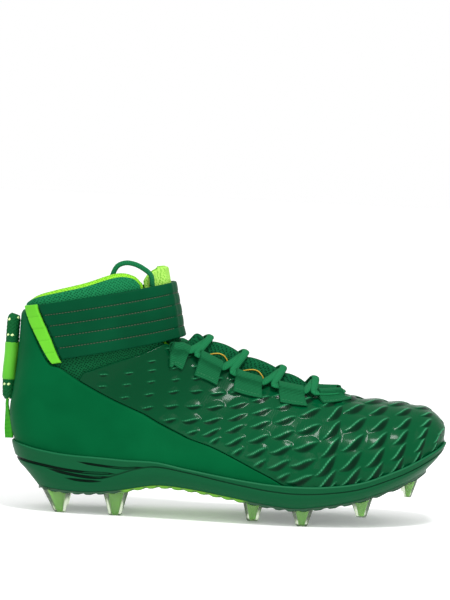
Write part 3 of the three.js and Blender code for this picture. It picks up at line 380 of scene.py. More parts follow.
def last_normal(at, turn):
    at, turn = np.broadcast_arrays(np.asarray(at, float), np.asarray(turn, float))
    side = np.where(turn < 0, -1.0, 1.0)
    angle = np.abs(turn)
    inner = np.clip(angle, 2 * NORMAL_STEP, PI - 2 * NORMAL_STEP)
    before = np.maximum(at - NORMAL_STEP, 0)
    along = last_point(at + NORMAL_STEP, side * inner) - last_point(before, side * inner)
    around = last_point(at, side * (inner + NORMAL_STEP)) - last_point(at, side * (inner - NORMAL_STEP))
    general = unit(np.cross(along, around)) * side[..., None]
    in_front = angle < PI / 2
    middle = np.where(in_front, 0, PI)
    run = last_point(at + NORMAL_STEP, middle) - last_point(before, middle)
    sign = np.where(in_front, 1.0, -1.0)
    flat = unit(np.stack([-sign * run[..., 2], np.zeros(at.shape), sign * run[..., 0]], axis=-1))
    away = np.minimum(angle, PI - angle) / (2 * NORMAL_STEP)
    weight = np.clip(away, 0, 1)[..., None]
    normal = unit(general * weight + flat * (1 - weight))
    return np.where((at > TOE_ROW - POLE_MARGIN)[..., None], np.array([1.0, 0, 0]), normal)


def place(at, turn, out):
    """Points at some distance outside, or if negative inside, the last"""
    return last_point(at, turn) + last_normal(at, turn) * np.asarray(out, float)[..., None]


HALVINGS = 40


def halve(low, high, too_low):
    """The place between two bounds, from a test that says whether a place is too low"""
    for _ in range(HALVINGS):
        middle = (low + high) / 2
        below = too_low(middle)
        low = np.where(below, middle, low)
        high = np.where(below, high, middle)
    return low


def locate(spot):
    """Section and angle of the lateral point of the last at a place in the side view"""
    x = spot[0] * SHOE_LENGTH
    z = bed(x) + spot[1] * INSTEP_HEIGHT

    def line_of(row):
        run_x = row["back_x"] - row["front_x"]
        run_z = row["back_z"] - row["front_z"]
        return run_x, run_z, x - row["front_x"], z - row["front_z"]

    def behind(at):
        run_x, run_z, from_x, from_z = line_of(section(at))
        return run_x * from_z - run_z * from_x > 0

    at = halve(0, TOE_ROW, behind)
    row = section(at)
    run_x, run_z, from_x, from_z = line_of(row)
    share = np.clip((from_x * run_x + from_z * run_z) / (run_x ** 2 + run_z ** 2), 0, 1)
    plain = halve(0, 1, lambda plain: plain + row["skew"] * plain * (1 - plain) <= share)
    return float(at), math.acos(1 - 2 * float(plain))


CONTOUR_COUNT = 1600


def contour(height):
    """Sections and angles where the last's surface crosses a height, from the heel to the toe"""
    at = np.linspace(0, TOE_ROW, CONTOUR_COUNT, endpoint=False)

    def error(turn):
        point = last_point(at, turn)
        return point[:, 2] - height(point[:, 0])

    crosses = (error(np.full(at.shape, PI)) <= 0) & (error(np.zeros(at.shape)) >= 0)
    at = at[crosses]
    turn = halve(np.zeros(at.shape), np.full(at.shape, PI), lambda turn: error(turn) > 0)
    turn[0] = PI
    if at[-1] < TOE_ROW - 1.5 * TOE_ROW / CONTOUR_COUNT:
        turn[-1] = 0
    else:
        at[-1] = TOE_ROW
    return paired(at, turn)


def wall_line(share):
    return contour(lambda x: bed(x) + (wall_top(x) - bed(x)) * share)


feather_line = contour(lambda x: bed(x) + FEATHER_GAP)
skin_foot_line = contour(lambda x: bed(x) + SKIN_FOOT)
rim_line = contour(wall_top)


def line_turn(line, at):
    return np.interp(at, line[:, 0], line[:, 1], left=PI)


def throat_turn(at):
    turn = np.maximum(table(THROAT_ROWS, THROAT_COLUMNS, "at", "turn", at), 0)
    return np.where(np.asarray(at) >= THROAT_FRONT, 0, turn)


# Stations along each side of the shoe, from the heel's middle round to the toe's
HEEL_PIVOT = 35 * MM
TOE_PIVOT = 248 * MM
TOE_ARC = 48 * MM
STATION_COUNT = 210
STATIONS = np.linspace(0, TOE_PIVOT + TOE_ARC, STATION_COUNT)


def interpolated(wanted, marks, line):
    """Rows of a line at wanted marks, by straight steps between the marks of its own rows"""
    return np.stack([np.interp(wanted, marks, values) for values in np.transpose(line)], axis=-1)


def at_stations(line, side, stations=STATIONS):
    point = last_point(line[:, 0], side * line[:, 1])
    x = point[:, 0]
    heel = np.arctan2(HEEL_PIVOT - x, np.abs(point[:, 1]))
    toe = np.arctan2(x - TOE_PIVOT, np.abs(point[:, 1] - TOE_SWING))
    mark = np.where(x < HEEL_PIVOT, HEEL_PIVOT - HEEL_PIVOT * heel / (PI / 2), x)
    mark = np.where(x > TOE_PIVOT, TOE_PIVOT + TOE_ARC * toe / (PI / 2), mark)
    mark[0] = 0
    mark[-1] = TOE_PIVOT + TOE_ARC
    mark = np.maximum.accumulate(mark)
    return interpolated(stations, mark, line)


# Lines and grids

def resample(line, count):
    """A line of places on the last with its points an even way apart"""
    line = np.asarray(line, float)
    reach = steps_along(last_point(line[:, 0], line[:, 1]), 0)
    wanted = np.linspace(0, reach[-1], count)
    keep = np.concatenate([[True], np.diff(reach) > 1e-7])
    return interpolated(wanted, reach[keep], line[keep])


def softened(line, rounds):
    """A line with its corners eased and its ends kept"""
    line = np.array(line, float)
    for _ in range(rounds):
        line[1:-1] = line[1:-1] / 2 + (line[:-2] + line[2:]) / 4
    return line


def between(inner, outer, columns):
    share = np.linspace(0, 1, columns)[None, :, None]
    return inner[:, None, :] * (1 - share) + outer[:, None, :] * share


def through(points, count):
    """A smooth line through points, with even spacing"""
    points = np.asarray(points, float)
    reach = steps_along(points, 0)
    fine = np.linspace(0, reach[-1], 8 * count)
    line = np.stack([hermite(reach, points[:, k], fine) for k in range(points.shape[1])], axis=-1)
    length = steps_along(line[:, :3], 0)
    wanted = np.linspace(0, length[-1], count)
    return interpolated(wanted, length, line)


def steps_along(points, axis):
    """Length from the first point to each point, along one axis of a line or grid"""
    step = np.linalg.norm(np.diff(points, axis=axis), axis=-1)
    start = np.zeros_like(np.take(step, [0], axis=axis))
    return np.cumsum(np.concatenate([start, step], axis=axis), axis=axis)


class Mesh:
    """Points, faces and their material slots, gathered before an object is made"""

    def __init__(self):
        self.points = []
        self.faces = []
        self.slots = []
        self.uv = []
        self.mark = []
        self.count = 0

    def add(self, points, faces, slot=0, uv=None, mark=None):
        points = np.asarray(points, float).reshape(-1, 3)
        faces = np.asarray(faces, int)
        self.points.append(points)
        self.faces.extend((faces + self.count).tolist())
        self.slots.extend(np.broadcast_to(slot, (len(faces),)).tolist())
        self.uv.append(np.zeros((len(points), 2)) if uv is None else np.asarray(uv, float).reshape(-1, 2))
        self.mark.append(np.zeros(len(points)) if mark is None else np.asarray(mark, float).reshape(-1))
        self.count += len(points)

    def object(self, name, materials, weld=0.0):
        mesh = bpy.data.meshes.new(name)
        points = np.concatenate(self.points) + HEEL_BACK
        mesh.from_pydata(points.tolist(), [], self.faces)
        for material in materials:
            mesh.materials.append(material)
        mesh.polygons.foreach_set("material_index", self.slots)
        mesh.polygons.foreach_set("use_smooth", np.ones(len(self.faces), bool))
        corners = np.empty(len(mesh.loops), int)
        mesh.loops.foreach_get("vertex_index", corners)
        layer = mesh.uv_layers.new(name="surface")
        layer.data.foreach_set("uv", np.concatenate(self.uv)[corners].ravel())
        mark = mesh.attributes.new("relief", "FLOAT", "POINT")
        mark.data.foreach_set("value", np.concatenate(self.mark))
        mesh.validate()
        mesh.update()
        if weld:
            body = bmesh.new()
            body.from_mesh(mesh)
            bmesh.ops.remove_doubles(body, verts=body.verts, dist=weld)
            body.to_mesh(mesh)
            body.free()
        made = bpy.data.objects.new(name, mesh)
        bpy.context.scene.collection.objects.link(made)
        return made


def grid_faces(rows, columns, closed=False):
    i, j = np.meshgrid(np.arange(rows - 1), np.arange(columns if closed else columns - 1), indexing="ij")
    k = (j + 1) % columns
    return np.stack([i * columns + j, i * columns + k, (i + 1) * columns + k, (i + 1) * columns + j],
                    axis=-1).reshape(-1, 4)


def facing(points, faces, towards):
    """Faces turned so that they look the way that the grid's points say"""
    flat = points.reshape(-1, 3)
    direction = towards.reshape(-1, 3)
    a, b, c, d = (flat[faces[:, k]] for k in range(4))
    normal = np.cross(c - a, d - b)
    if np.sum(normal * direction[faces[:, 0]]) < 0:
        return faces[:, ::-1]
    return faces


ALL_EDGES = ("first_row", "last_row", "first_column", "last_column")
SEAM_EDGES = ("first_row", "first_column")


def edge_distance(points, edges):
    """How far each point of a grid is from the named edges of the grid"""
    down = steps_along(points, 0)
    over = steps_along(points, 1)
    reach = {
        "first_row": down,
        "last_row": down[-1:] - down,
        "first_column": over,
        "last_column": over[:, -1:] - over,
    }
    far = np.full(points.shape[:2], 1.0)
    for edge in edges:
        far = np.minimum(far, reach[edge])
    return far


def rounded(distance, radius):
    return np.sqrt(1 - (1 - np.clip(distance / radius, 0, 1)) ** 2)


def shell(mesh, grid, outer, inner, edges, radius, slot=0, inner_slot=0, uv=None):
    """A wall over a grid of places, rounded off at the named edges"""
    at = grid[..., 0]
    turn = grid[..., 1]
    outer = np.broadcast_to(outer, at.shape)
    inner = np.broadcast_to(inner, at.shape)
    base = last_point(at, turn)
    full = rounded(edge_distance(base, edges), radius)
    middle = (outer + inner) / 2
    half = (outer - inner) / 2 * full
    normal = last_normal(at, turn)
    if uv is None:
        uv = paired(steps_along(base, 0), steps_along(base, 1))
    faces = facing(base, grid_faces(*at.shape), normal)
    top = base + normal * (middle + half)[..., None]
    bottom = base + normal * (middle - half)[..., None]
    mesh.add(top, faces, slot, uv)
    mesh.add(bottom, faces[:, ::-1], inner_slot, uv)


def add_tube(mesh, points, middle, uv=None, mark=None):
    """Rings of points as a closed band that faces away from its middle"""
    faces = grid_faces(*points.shape[:2], closed=True)
    mesh.add(points, facing(points, faces, points - middle), 0, uv, mark)


def cap(mesh, ring, flip=False):
    """A fan of triangles between a ring and its middle"""
    sides = len(ring)
    pairs = [(k, (k + 1) % sides) for k in range(sides)]
    fan = [(b, a, sides) if flip else (a, b, sides) for a, b in pairs]
    mesh.add(np.concatenate([ring, ring.mean(axis=0, keepdims=True)]), fan)


def sweep(mesh, line, outward, width, height, sides, pitch=1.0, capped=True):
    """A bar of oval section along a line; outward gives the way that its flat side faces"""
    line = np.asarray(line, float)
    run = unit(np.gradient(line, axis=0))
    across = unit(np.cross(np.broadcast_to(outward, line.shape), run))
    out = np.cross(run, across)
    angle = np.linspace(0, 2 * PI, sides, endpoint=False)
    width = np.broadcast_to(width, (len(line),))[:, None, None]
    height = np.broadcast_to(height, (len(line),))[:, None, None]
    points = (line[:, None] + across[:, None] * np.cos(angle)[None, :, None] * width / 2
              + out[:, None] * np.sin(angle)[None, :, None] * height / 2)
    length = steps_along(line[:, None], 0)
    add_tube(mesh, points, line[:, None], paired(length, (angle / (2 * PI) * pitch)[None, :]))
    if capped:
        cap(mesh, points[0])
        cap(mesh, points[-1])


# Material nodes

def linear(red, green, blue):
    """A colour as a shader takes it, from its values on a screen"""
    return tuple((v / 12.92 if v <= 0.04045 else ((v + 0.055) / 1.055) ** 2.4)
                 for v in (red / 255, green / 255, blue / 255)) + (1,)


class Finish:
    """One procedural material, with short calls for the nodes that it needs"""

    def __init__(self, name, color, roughness, **settings):
        self.material = bpy.data.materials.new(name)
        self.material.use_nodes = True
        self.tree = self.material.node_tree
        self.shader = self.tree.nodes["Principled BSDF"]
        self.shader.inputs["Base Color"].default_value = color
        self.shader.inputs["Roughness"].default_value = roughness
        for socket, value in settings.items():
            self.shader.inputs[socket.replace("_", " ")].default_value = value

    def node(self, kind, **settings):
        made = self.tree.nodes.new(kind)
        for key, value in settings.items():
            setattr(made, key, value)
        return made

    def link(self, source, target):
        self.tree.links.new(source, target)

    def surface(self, across, along, turn=0.0):
        """Coordinates on the surface in cells of a real size"""
        source = self.node("ShaderNodeUVMap", uv_map="surface")
        mapping = self.node("ShaderNodeMapping")
        mapping.inputs["Scale"].default_value = (1 / across, 1 / along, 1)
        mapping.inputs["Rotation"].default_value = (0, 0, turn)
        self.link(source.outputs["UV"], mapping.inputs["Vector"])
        return mapping.outputs["Vector"]

    def space(self, cell):
        """Coordinates in the object's space in cells of a real size"""
        source = self.node("ShaderNodeTexCoord")
        mapping = self.node("ShaderNodeMapping")
        mapping.inputs["Scale"].default_value = (1 / cell, 1 / cell, 1 / cell)
        self.link(source.outputs["Object"], mapping.inputs["Vector"])
        return mapping.outputs["Vector"]

    def math(self, operation, first, second=0.0):
        made = self.node("ShaderNodeMath", operation=operation)
        for socket, value in zip(made.inputs, (first, second)):
            if isinstance(value, (int, float)):
                socket.default_value = value
            else:
                self.link(value, socket)
        return made.outputs[0]

    def span(self, value, low, high, to_low=0.0, to_high=1.0):
        made = self.node("ShaderNodeMapRange")
        limits = {"From Min": low, "From Max": high, "To Min": to_low, "To Max": to_high}
        for name, number in limits.items():
            made.inputs[name].default_value = number
        self.link(value, made.inputs["Value"])
        return made.outputs["Result"]

    def noise(self, vector, detail=3.0):
        made = self.node("ShaderNodeTexNoise")
        made.inputs["Scale"].default_value = 1
        made.inputs["Detail"].default_value = detail
        self.link(vector, made.inputs["Vector"])
        return made.outputs["Fac"]

    def cells(self, vector, randomness, flat=True):
        made = self.node("ShaderNodeTexVoronoi", voronoi_dimensions="2D" if flat else "3D")
        made.inputs["Scale"].default_value = 1
        made.inputs["Randomness"].default_value = randomness
        self.link(vector, made.inputs["Vector"])
        return made.outputs["Distance"]

    def wave(self, vector, axis):
        """A smooth ridge from 0 to 1, once for each cell along an axis"""
        split = self.node("ShaderNodeSeparateXYZ")
        self.link(vector, split.inputs[0])
        turned = self.math("MULTIPLY", split.outputs[axis], 2 * PI)
        return self.span(self.math("SINE", turned), -1, 1)

    def relief(self):
        return self.node("ShaderNodeAttribute", attribute_name="relief").outputs["Fac"]

    def blend(self, factor, low, high):
        made = self.node("ShaderNodeMix", data_type="RGBA")
        self.link(factor, made.inputs[0])
        for socket, value in ((made.inputs[6], low), (made.inputs[7], high)):
            if isinstance(value, tuple):
                socket.default_value = value
            else:
                self.link(value, socket)
        return made.outputs[2]

    def tint(self, color):
        self.link(color, self.shader.inputs["Base Color"])

    def color(self, factor, low, high):
        self.tint(self.blend(factor, low, high))

    def roughness(self, value, low, high):
        self.link(self.span(value, 0, 1, low, high), self.shader.inputs["Roughness"])

    def bump(self, height, distance, strength=1.0):
        made = self.node("ShaderNodeBump")
        made.inputs["Distance"].default_value = distance
        made.inputs["Strength"].default_value = strength
        self.link(height, made.inputs["Height"])
        self.link(made.outputs["Normal"], self.shader.inputs["Normal"])


def knit(name, yarn, shade, hole, cell):
    """Open knitted mesh: rows of loops round small holes"""
    finish = Finish(name, yarn, 0.85, Specular_IOR_Level=0.05)
    grid = finish.surface(cell, 0.8 * cell, 0.5)
    loops = finish.cells(grid, 0.35)
    solid_share = finish.span(loops, 0.16, 0.34)
    thread = finish.noise(finish.surface(0.3 * cell, 0.3 * cell))
    finish.tint(finish.blend(solid_share, hole, finish.blend(thread, shade, yarn)))
    finish.bump(solid_share, 0.5 * MM, 0.8)
    return finish.material


def smooth_film(name, color, deep, roughness, gloss):
    """Moulded film with a fine grain"""
    finish = Finish(name, color, roughness, Specular_IOR_Level=gloss)
    cloud = finish.noise(finish.space(28 * MM), 2)
    finish.color(finish.span(cloud, 0.35, 0.65), deep, color)
    grain = finish.noise(finish.space(0.8 * MM), 4)
    finish.roughness(grain, roughness - 0.05, roughness + 0.07)
    finish.bump(grain, 0.06 * MM, 0.6)
    return finish.material


def ridged_skin():
    """Glossy forefoot skin: painted shade on the ridges' faces, a painted highlight along their crests,
    with a dotted grain
    """
    finish = Finish("ridged_skin", linear(3, 84, 48), 0.2, Specular_IOR_Level=0.02, Coat_Weight=0.09)
    finish.shader.inputs["Coat Roughness"].default_value = 0.1
    tone = finish.relief()
    # Painted shade on the ridges' faces: tones under the plain level darken the green
    plain = finish.blend(finish.span(tone, 0, 0.5), linear(0, 32, 16), linear(1, 70, 38))
    # Painted highlight along the crests: tones over the plain level pale the green
    finish.tint(finish.blend(finish.span(tone, 0.5, 1), plain, linear(58, 140, 98)))
    dots = finish.cells(finish.surface(1.1 * MM, 1.1 * MM, 0.6), 0.15)
    finish.roughness(finish.noise(finish.space(20 * MM), 2), 0.16, 0.3)
    finish.bump(finish.span(dots, 0.1, 0.5), 0.1 * MM, 0.5)
    return finish.material


def webbing(name, color, deep, rib):
    """Flat woven band with ribs across and along it"""
    finish = Finish(name, color, 0.72, Specular_IOR_Level=0.08)
    grid = finish.surface(rib, rib)
    ribs = finish.wave(grid, 0)
    cross = finish.wave(grid, 1)
    weave = finish.math("MULTIPLY", ribs, finish.span(cross, 0, 1, 0.55, 1))
    finish.color(weave, deep, color)
    finish.bump(weave, 0.25 * MM, 0.7)
    return finish.material


LACE_PITCH = 0.11


def woven_cord(name, color, deep):
    """Lace: fine threads that cross in two diagonals"""
    finish = Finish(name, color, 0.7, Specular_IOR_Level=0.08)
    first = finish.wave(finish.surface(1.1 * MM, LACE_PITCH, 0.5), 0)
    second = finish.wave(finish.surface(1.1 * MM, LACE_PITCH, -0.5), 0)
    weave = finish.math("MAXIMUM", first, second)
    finish.color(weave, deep, color)
    finish.bump(weave, 0.2 * MM, 0.6)
    return finish.material


def braid():
    """Heel rope: braided strands, some of them pale"""
    finish = Finish("braided_rope", linear(4, 84, 40), 0.6, Specular_IOR_Level=0.1)
    mark = finish.relief()
    finish.color(finish.span(mark, 0.9, 1.1), linear(4, 84, 40), linear(214, 240, 170))
    finish.bump(finish.noise(finish.space(0.5 * MM), 3), 0.1 * MM, 0.6)
    return finish.material


def sole_plastic():
    """Tray: painted shade in its grooves, a painted highlight along its lip, with a fine grain"""
    finish = Finish("sole_plastic", linear(6, 78, 44), 0.38, Specular_IOR_Level=0.08)
    tone = finish.relief()
    # Painted shade in the grooves: tones under 1 darken the green
    plain = finish.blend(finish.span(tone, 0, 1), linear(0, 24, 12), linear(4, 76, 43))
    # Painted highlight along the lip: tones over 1 pale the green
    finish.tint(finish.blend(finish.span(tone, 1, 1.5), plain, linear(40, 126, 84)))
    grain = finish.noise(finish.space(1.2 * MM), 4)
    finish.roughness(grain, 0.36, 0.52)
    finish.bump(grain, 0.07 * MM, 0.6)
    return finish.material


def sole_plate():
    """Plate under the tray: green, with lime pads at the arch"""
    finish = Finish("sole_plate", linear(6, 70, 38), 0.45)
    grain = finish.noise(finish.space(1.5 * MM), 3)
    green = finish.blend(grain, linear(2, 58, 30), linear(10, 80, 46))
    finish.tint(finish.blend(finish.relief(), green, linear(98, 164, 26)))
    finish.bump(grain, 0.08 * MM, 0.6)
    return finish.material


def stud_core():
    """Cloudy lime plastic inside the studs"""
    finish = Finish("stud_core", linear(110, 190, 30), 0.4, Subsurface_Weight=0.2)
    finish.shader.inputs["Subsurface Radius"].default_value = (2 * MM, 3 * MM, 1 * MM)
    cloud = finish.noise(finish.space(9 * MM), 2)
    finish.color(cloud, linear(92, 176, 20), linear(128, 208, 44))
    finish.bump(finish.noise(finish.space(1.5 * MM), 3), 0.08 * MM, 0.6)
    return finish.material


def stud_shell():
    """Clear plastic with fine scuffs"""
    finish = Finish("stud_shell", linear(228, 240, 214), 0.12, Transmission_Weight=0.95, IOR=1.45)
    scuff = finish.noise(finish.space(2.5 * MM), 4)
    finish.roughness(scuff, 0.06, 0.3)
    finish.bump(scuff, 0.1 * MM, 0.5)
    return finish.material


def plain_thread(name, color, deep):
    """Thread with bands of two tones along it"""
    finish = Finish(name, color, 0.6)
    finish.color(finish.wave(finish.surface(0.5 * MM, 1), 0), deep, color)
    return finish.material


cuff_mesh = knit("cuff_mesh", linear(30, 124, 76), linear(18, 104, 62), linear(4, 70, 40), 1.9 * MM)
# Painted shade: a darker copy of the cuff's knit, for the bootie below the strap
shaded_low_mesh = knit("shaded_low_mesh", linear(14, 84, 48), linear(6, 68, 38), linear(0, 42, 22), 1.9 * MM)
lime_mesh = knit("lime_mesh", linear(174, 218, 112), linear(146, 208, 72), linear(106, 186, 44), 2.1 * MM)
lining = knit("lining", linear(146, 212, 58), linear(122, 198, 40), linear(74, 152, 20), 1.6 * MM)
tongue_cloth = knit("tongue_cloth", linear(14, 92, 54), linear(6, 72, 41), linear(0, 46, 24), 1.5 * MM)
skin_film = ridged_skin()
quarter_film = smooth_film("quarter_film", linear(1, 82, 44), linear(0, 76, 40), 0.5, 0.02)
strap_film = smooth_film("strap_film", linear(3, 66, 39), linear(2, 60, 35), 0.45, 0.025)
tape_film = smooth_film("tape_film", linear(98, 186, 46), linear(90, 178, 40), 0.45, 0.05)
sleeve_film = smooth_film("sleeve_film", linear(92, 180, 48), linear(78, 164, 40), 0.35, 0.16)
keeper_web = webbing("keeper_webbing", linear(20, 104, 62), linear(6, 72, 40), 1.0 * MM)
ribbon_web = webbing("ribbon_webbing", linear(84, 188, 34), linear(14, 112, 30), 0.9 * MM)
lace_weave = woven_cord("lace_weave", linear(20, 108, 64), linear(6, 76, 42))
rope_braid = braid()
sole_film = sole_plastic()
plate_film = sole_plate()
lime_core = stud_core()
clear_shell = stud_shell()
seam_thread = plain_thread("seam_thread", linear(84, 84, 64), linear(52, 62, 44))
green_thread = plain_thread("green_thread", linear(16, 120, 70), linear(2, 70, 40))
piping_thread = plain_thread("piping_thread", linear(214, 178, 44), linear(150, 120, 24))


# Camera

def photo_camera():
    data = bpy.data.cameras.new("photo_camera")
    data.sensor_fit = "VERTICAL"
    data.sensor_height = SENSOR
    data.lens = LENS
    camera = bpy.data.objects.new("photo_camera", data)
    away = Vector((0, -math.cos(VIEW_RISE), math.sin(VIEW_RISE)))
    turn = Matrix.Rotation(PI / 2 - VIEW_RISE, 4, "X") @ Matrix.Rotation(VIEW_ROLL, 4, "Z")
    camera.matrix_world = Matrix.Translation(VIEW_AIM + away * VIEW_DISTANCE) @ turn
    bpy.context.scene.collection.objects.link(camera)
    bpy.context.scene.camera = camera


photo_camera()


WELD = 1e-6


def settle(mesh, name, finishes, slot, *nodes, weld=WELD):
    """A piece made from a mesh, which rides on the shoe's one body and stands for its nodes"""
    piece = mesh.object(name, finishes, weld)
    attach(piece, "root")
    if nodes:
        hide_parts(*nodes)
    return piece


# The loop of lace above the collar: out from under the strap and back inside the collar. The arch's
# points are in millimetres from the heel's back on the ground.
LOOP_UNDER_STRAP = -2.2 * MM
LOOP_IN_COLLAR = -(CUFF_WALL + LACE_DIAMETER / 2 + CLEARANCE + 0.4 * MM)
LOOP_START = [(1.45, -0.66), (1.2, -0.66), (0.95, -0.67)]
LOOP_ARCH = [
    (90.2, -23.6, 164.2),
    (84, -24.4, 169),
    (78.4, -24.6, 171.3),
    (72.9, -24.8, 171.8),
    (67.6, -25, 169.6),
    (64.8, -25.2, 164.5),
]
LOOP_END = [(0.95, -1.36), (1.25, -1.3)]
LOOP_POINTS = 36


def lace_loop():
    route = [place(at, turn, LOOP_UNDER_STRAP) for at, turn in LOOP_START]
    route += [np.array(point) * MM for point in LOOP_ARCH]
    route += [place(at, turn, LOOP_IN_COLLAR) for at, turn in LOOP_END]
    line = through(route, LOOP_POINTS)
    mesh = Mesh()
    middle = line.mean(axis=0)
    facing_out = unit(np.cross(unit(np.gradient(line, axis=0)), np.array([0.0, 1, 0])))
    facing_out[np.sum(facing_out * (line - middle), axis=1) < 0] *= -1
    sweep(mesh, line, facing_out, LACE_DIAMETER, LACE_DIAMETER, 16, pitch=LACE_PITCH)
    piece = settle(mesh, "lace_loop_cord", [lace_weave], "lace", "lace_loop", weld=0)
    path = [Vector(point) for point in line + HEEL_BACK]
    length = sum((b - a).length for a, b in zip(path, path[1:]))
    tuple(path[0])


lace_loop()


# The knitted bootie with its padded cuff and lime lining

LINING_EDGE = 0.9 * MM
MEDIAL_RIM_DROP = 0.2
CUFF_FADE = (2.6, 4.2)
CUFF_PILLOW = 0.5 * MM
PILLOW_AT = 0.62
PILLOW_SPREAD = 0.3
SHADED_KNIT_FROM = STRAP_BOTTOM - 0.15
RIM_EASING = 500
LEG_MIDDLE = 62 * MM
LEG_RADIUS = 45 * MM


def wall_at(at):
    return UPPER_WALL + (CUFF_WALL - UPPER_WALL) * (1 - smooth(*CUFF_FADE, at))


def upper_grid(side, rows=190, columns=64):
    seam_rows = rows // 4
    seam = paired(np.linspace(RIM_START, feather_line[0, 0], seam_rows), PI)
    foot = at_stations(feather_line, side, np.linspace(0, STATIONS[-1], rows - seam_rows + 1))[1:]
    bottom = np.concatenate([seam, foot])
    top_at = softened(bottom[:, :1], RIM_EASING)
    top = np.concatenate([top_at, throat_turn(top_at)], axis=-1)
    grid = between(top, bottom, columns)
    fade = 1 - smooth(RIM_START, 4, top_at)
    lift = table(RIM_ROWS, RIM_COLUMNS, "turn", "at", grid[..., 1]) - RIM_START
    if side > 0:
        lift = lift + MEDIAL_RIM_DROP * (1 - smooth(2.3, 3.1, grid[..., 1]))
    grid[..., 0] += lift * fade
    grid[..., 1] *= side
    return grid


def knitted_upper():
    mesh = Mesh()
    for side in (-1, 1):
        grid = upper_grid(side)
        at = grid[..., 0]
        wall = wall_at(at)
        pillow = CUFF_PILLOW * np.exp(-((at - PILLOW_AT) / PILLOW_SPREAD) ** 2)
        base = last_point(at, grid[..., 1])
        from_rim = edge_distance(base, ("first_row",))
        quads = grid_faces(*at.shape)
        near = from_rim.ravel()[quads[:, 0]]
        # Below the strap the knit takes its darker copy, as painted shade
        low = at.ravel()[quads[:, 0]] > SHADED_KNIT_FROM
        slots = np.where(near < LINING_EDGE, 1, np.where(low, 2, 0))
        bearing = np.arctan2(base[..., 1], base[..., 0] - LEG_MIDDLE)
        knit_rows = paired(bearing * LEG_RADIUS, base[..., 2])
        rounding = np.maximum(wall / 2, 1 * MM)
        shell(mesh, grid, -UPPER_SET + pillow, -wall, SEAM_EDGES, rounding, slots, 1, uv=knit_rows)
    settle(mesh, "knitted_upper", [cuff_mesh, lining, shaded_low_mesh], "mesh", "upper")


knitted_upper()


# Ends of the strap and back of its tape, as angles at the strap's top and bottom, and the line between
# quarter and skin

STRAP_END = {"top": 2.43, "bottom": 1.9}
TAPE_BACK = {"top": 2.79, "bottom": 2.07}
STRAP_MEDIAL_END = {"top": 2.42, "bottom": 2.05}
TAPE_SECTIONS = [1.15, 1.5, 1.9, 2.3, 2.7, 3, 3.26]
CUT_TURN = 0.012
DIAGONAL_POINTS = 200
DIAGONAL_EASING = 30
FOOT_POINTS = 500
FOOT_AFTER = 0.15
FOOT_BEFORE = 0.1


def strap_turn(end, at):
    return end["top"] + (end["bottom"] - end["top"]) * (at - STRAP_TOP) / (STRAP_BOTTOM - STRAP_TOP)


def quarter_diagonal():
    """The line between quarter and skin, down to where it meets the skin's foot line"""
    line = np.array([locate(spot) for spot in QUARTER_LINE])
    fine = resample(line, DIAGONAL_POINTS)
    inside = fine[:, 1] < line_turn(skin_foot_line, fine[:, 0])
    last = np.argmin(inside) if not inside.all() else len(fine)
    return fine[:last]


diagonal = softened(quarter_diagonal(), DIAGONAL_EASING)
diagonal_end = diagonal[-1]


def foot_part(side, after):
    """The skin's foot line in front of the diagonal's end, or the quarter's behind it"""
    stations = np.linspace(0, STATIONS[-1], FOOT_POINTS)
    line = at_stations(skin_foot_line, side, stations)
    if after:
        return line[line[:, 0] > diagonal_end[0] + FOOT_AFTER]
    return line[line[:, 0] < diagonal_end[0] - FOOT_BEFORE]


# The glossy forefoot skin with its ridges

SKIN_START = STRAP_BOTTOM + 0.16
HEM_SHARE = 0.16
SEAM_STEP = np.array([0.006, -0.003])


def skin_grid(side, rows=310, columns=144):
    hem = np.array([(SKIN_START, throat_turn(SKIN_START) + CUT_TURN)]
                   + [locate(spot) for spot in reversed(SKIN_TOP_LINE)])
    aside = diagonal[diagonal[:, 0] > hem[-1, 0] + 0.3] + SEAM_STEP
    bottom = resample(np.concatenate([hem[-1:], aside, foot_part(side, True)]), rows)
    end_at = skin_foot_line[-1, 0]
    top_at = np.linspace(SKIN_START, end_at, rows)
    top_turn = np.where(top_at < THROAT_FRONT, throat_turn(top_at) + CUT_TURN, 0)
    grid = between(paired(top_at, top_turn), bottom, columns)
    hem_line = resample(hem, columns)
    weight = np.clip(1 - np.linspace(0, 1, rows) / HEM_SHARE, 0, 1)[:, None, None]
    grid = grid + (hem_line - grid[0])[None] * weight
    grid[..., 1] *= side
    return grid


# Ridges of the skin: bands of leaves from the throat to the foot. Each has a crest that rises forwards,
# a short face under it and a long slope above it. They grow smaller towards the ankle.
RIDGE_BANDS = 7
RIDGE_PITCH = 17 * MM
RIDGE_STAGGER = 0.39
RIDGE_HALF_LENGTH = 10.5 * MM
RIDGE_HEIGHT = 1.35 * MM
RIDGE_FACE = 4.8 * MM
RIDGE_SLOPE = 8 * MM
RIDGE_RISE = 0.9
RIDGE_BEND = 0.5 * MM
CREST_WIDTH = 0.55 * MM
# Colour tones of the ridges: plain, painted shade on their faces, painted highlight along their crests
PLAIN_TONE = 0.5
FACE_SHADE = 0.5
CREST_LIGHT = 0.75
RIDGE_ROOM = 12 * MM
RIDGE_GROWTH = (25 * MM, 80 * MM)
RIDGE_REACH = 7 * MM
RIDGE_EDGE_FADE = (0.8 * MM, 4.5 * MM)
ANKLE_SHADE = 0.2
ANKLE_SHADE_FADE = (30 * MM, 110 * MM)


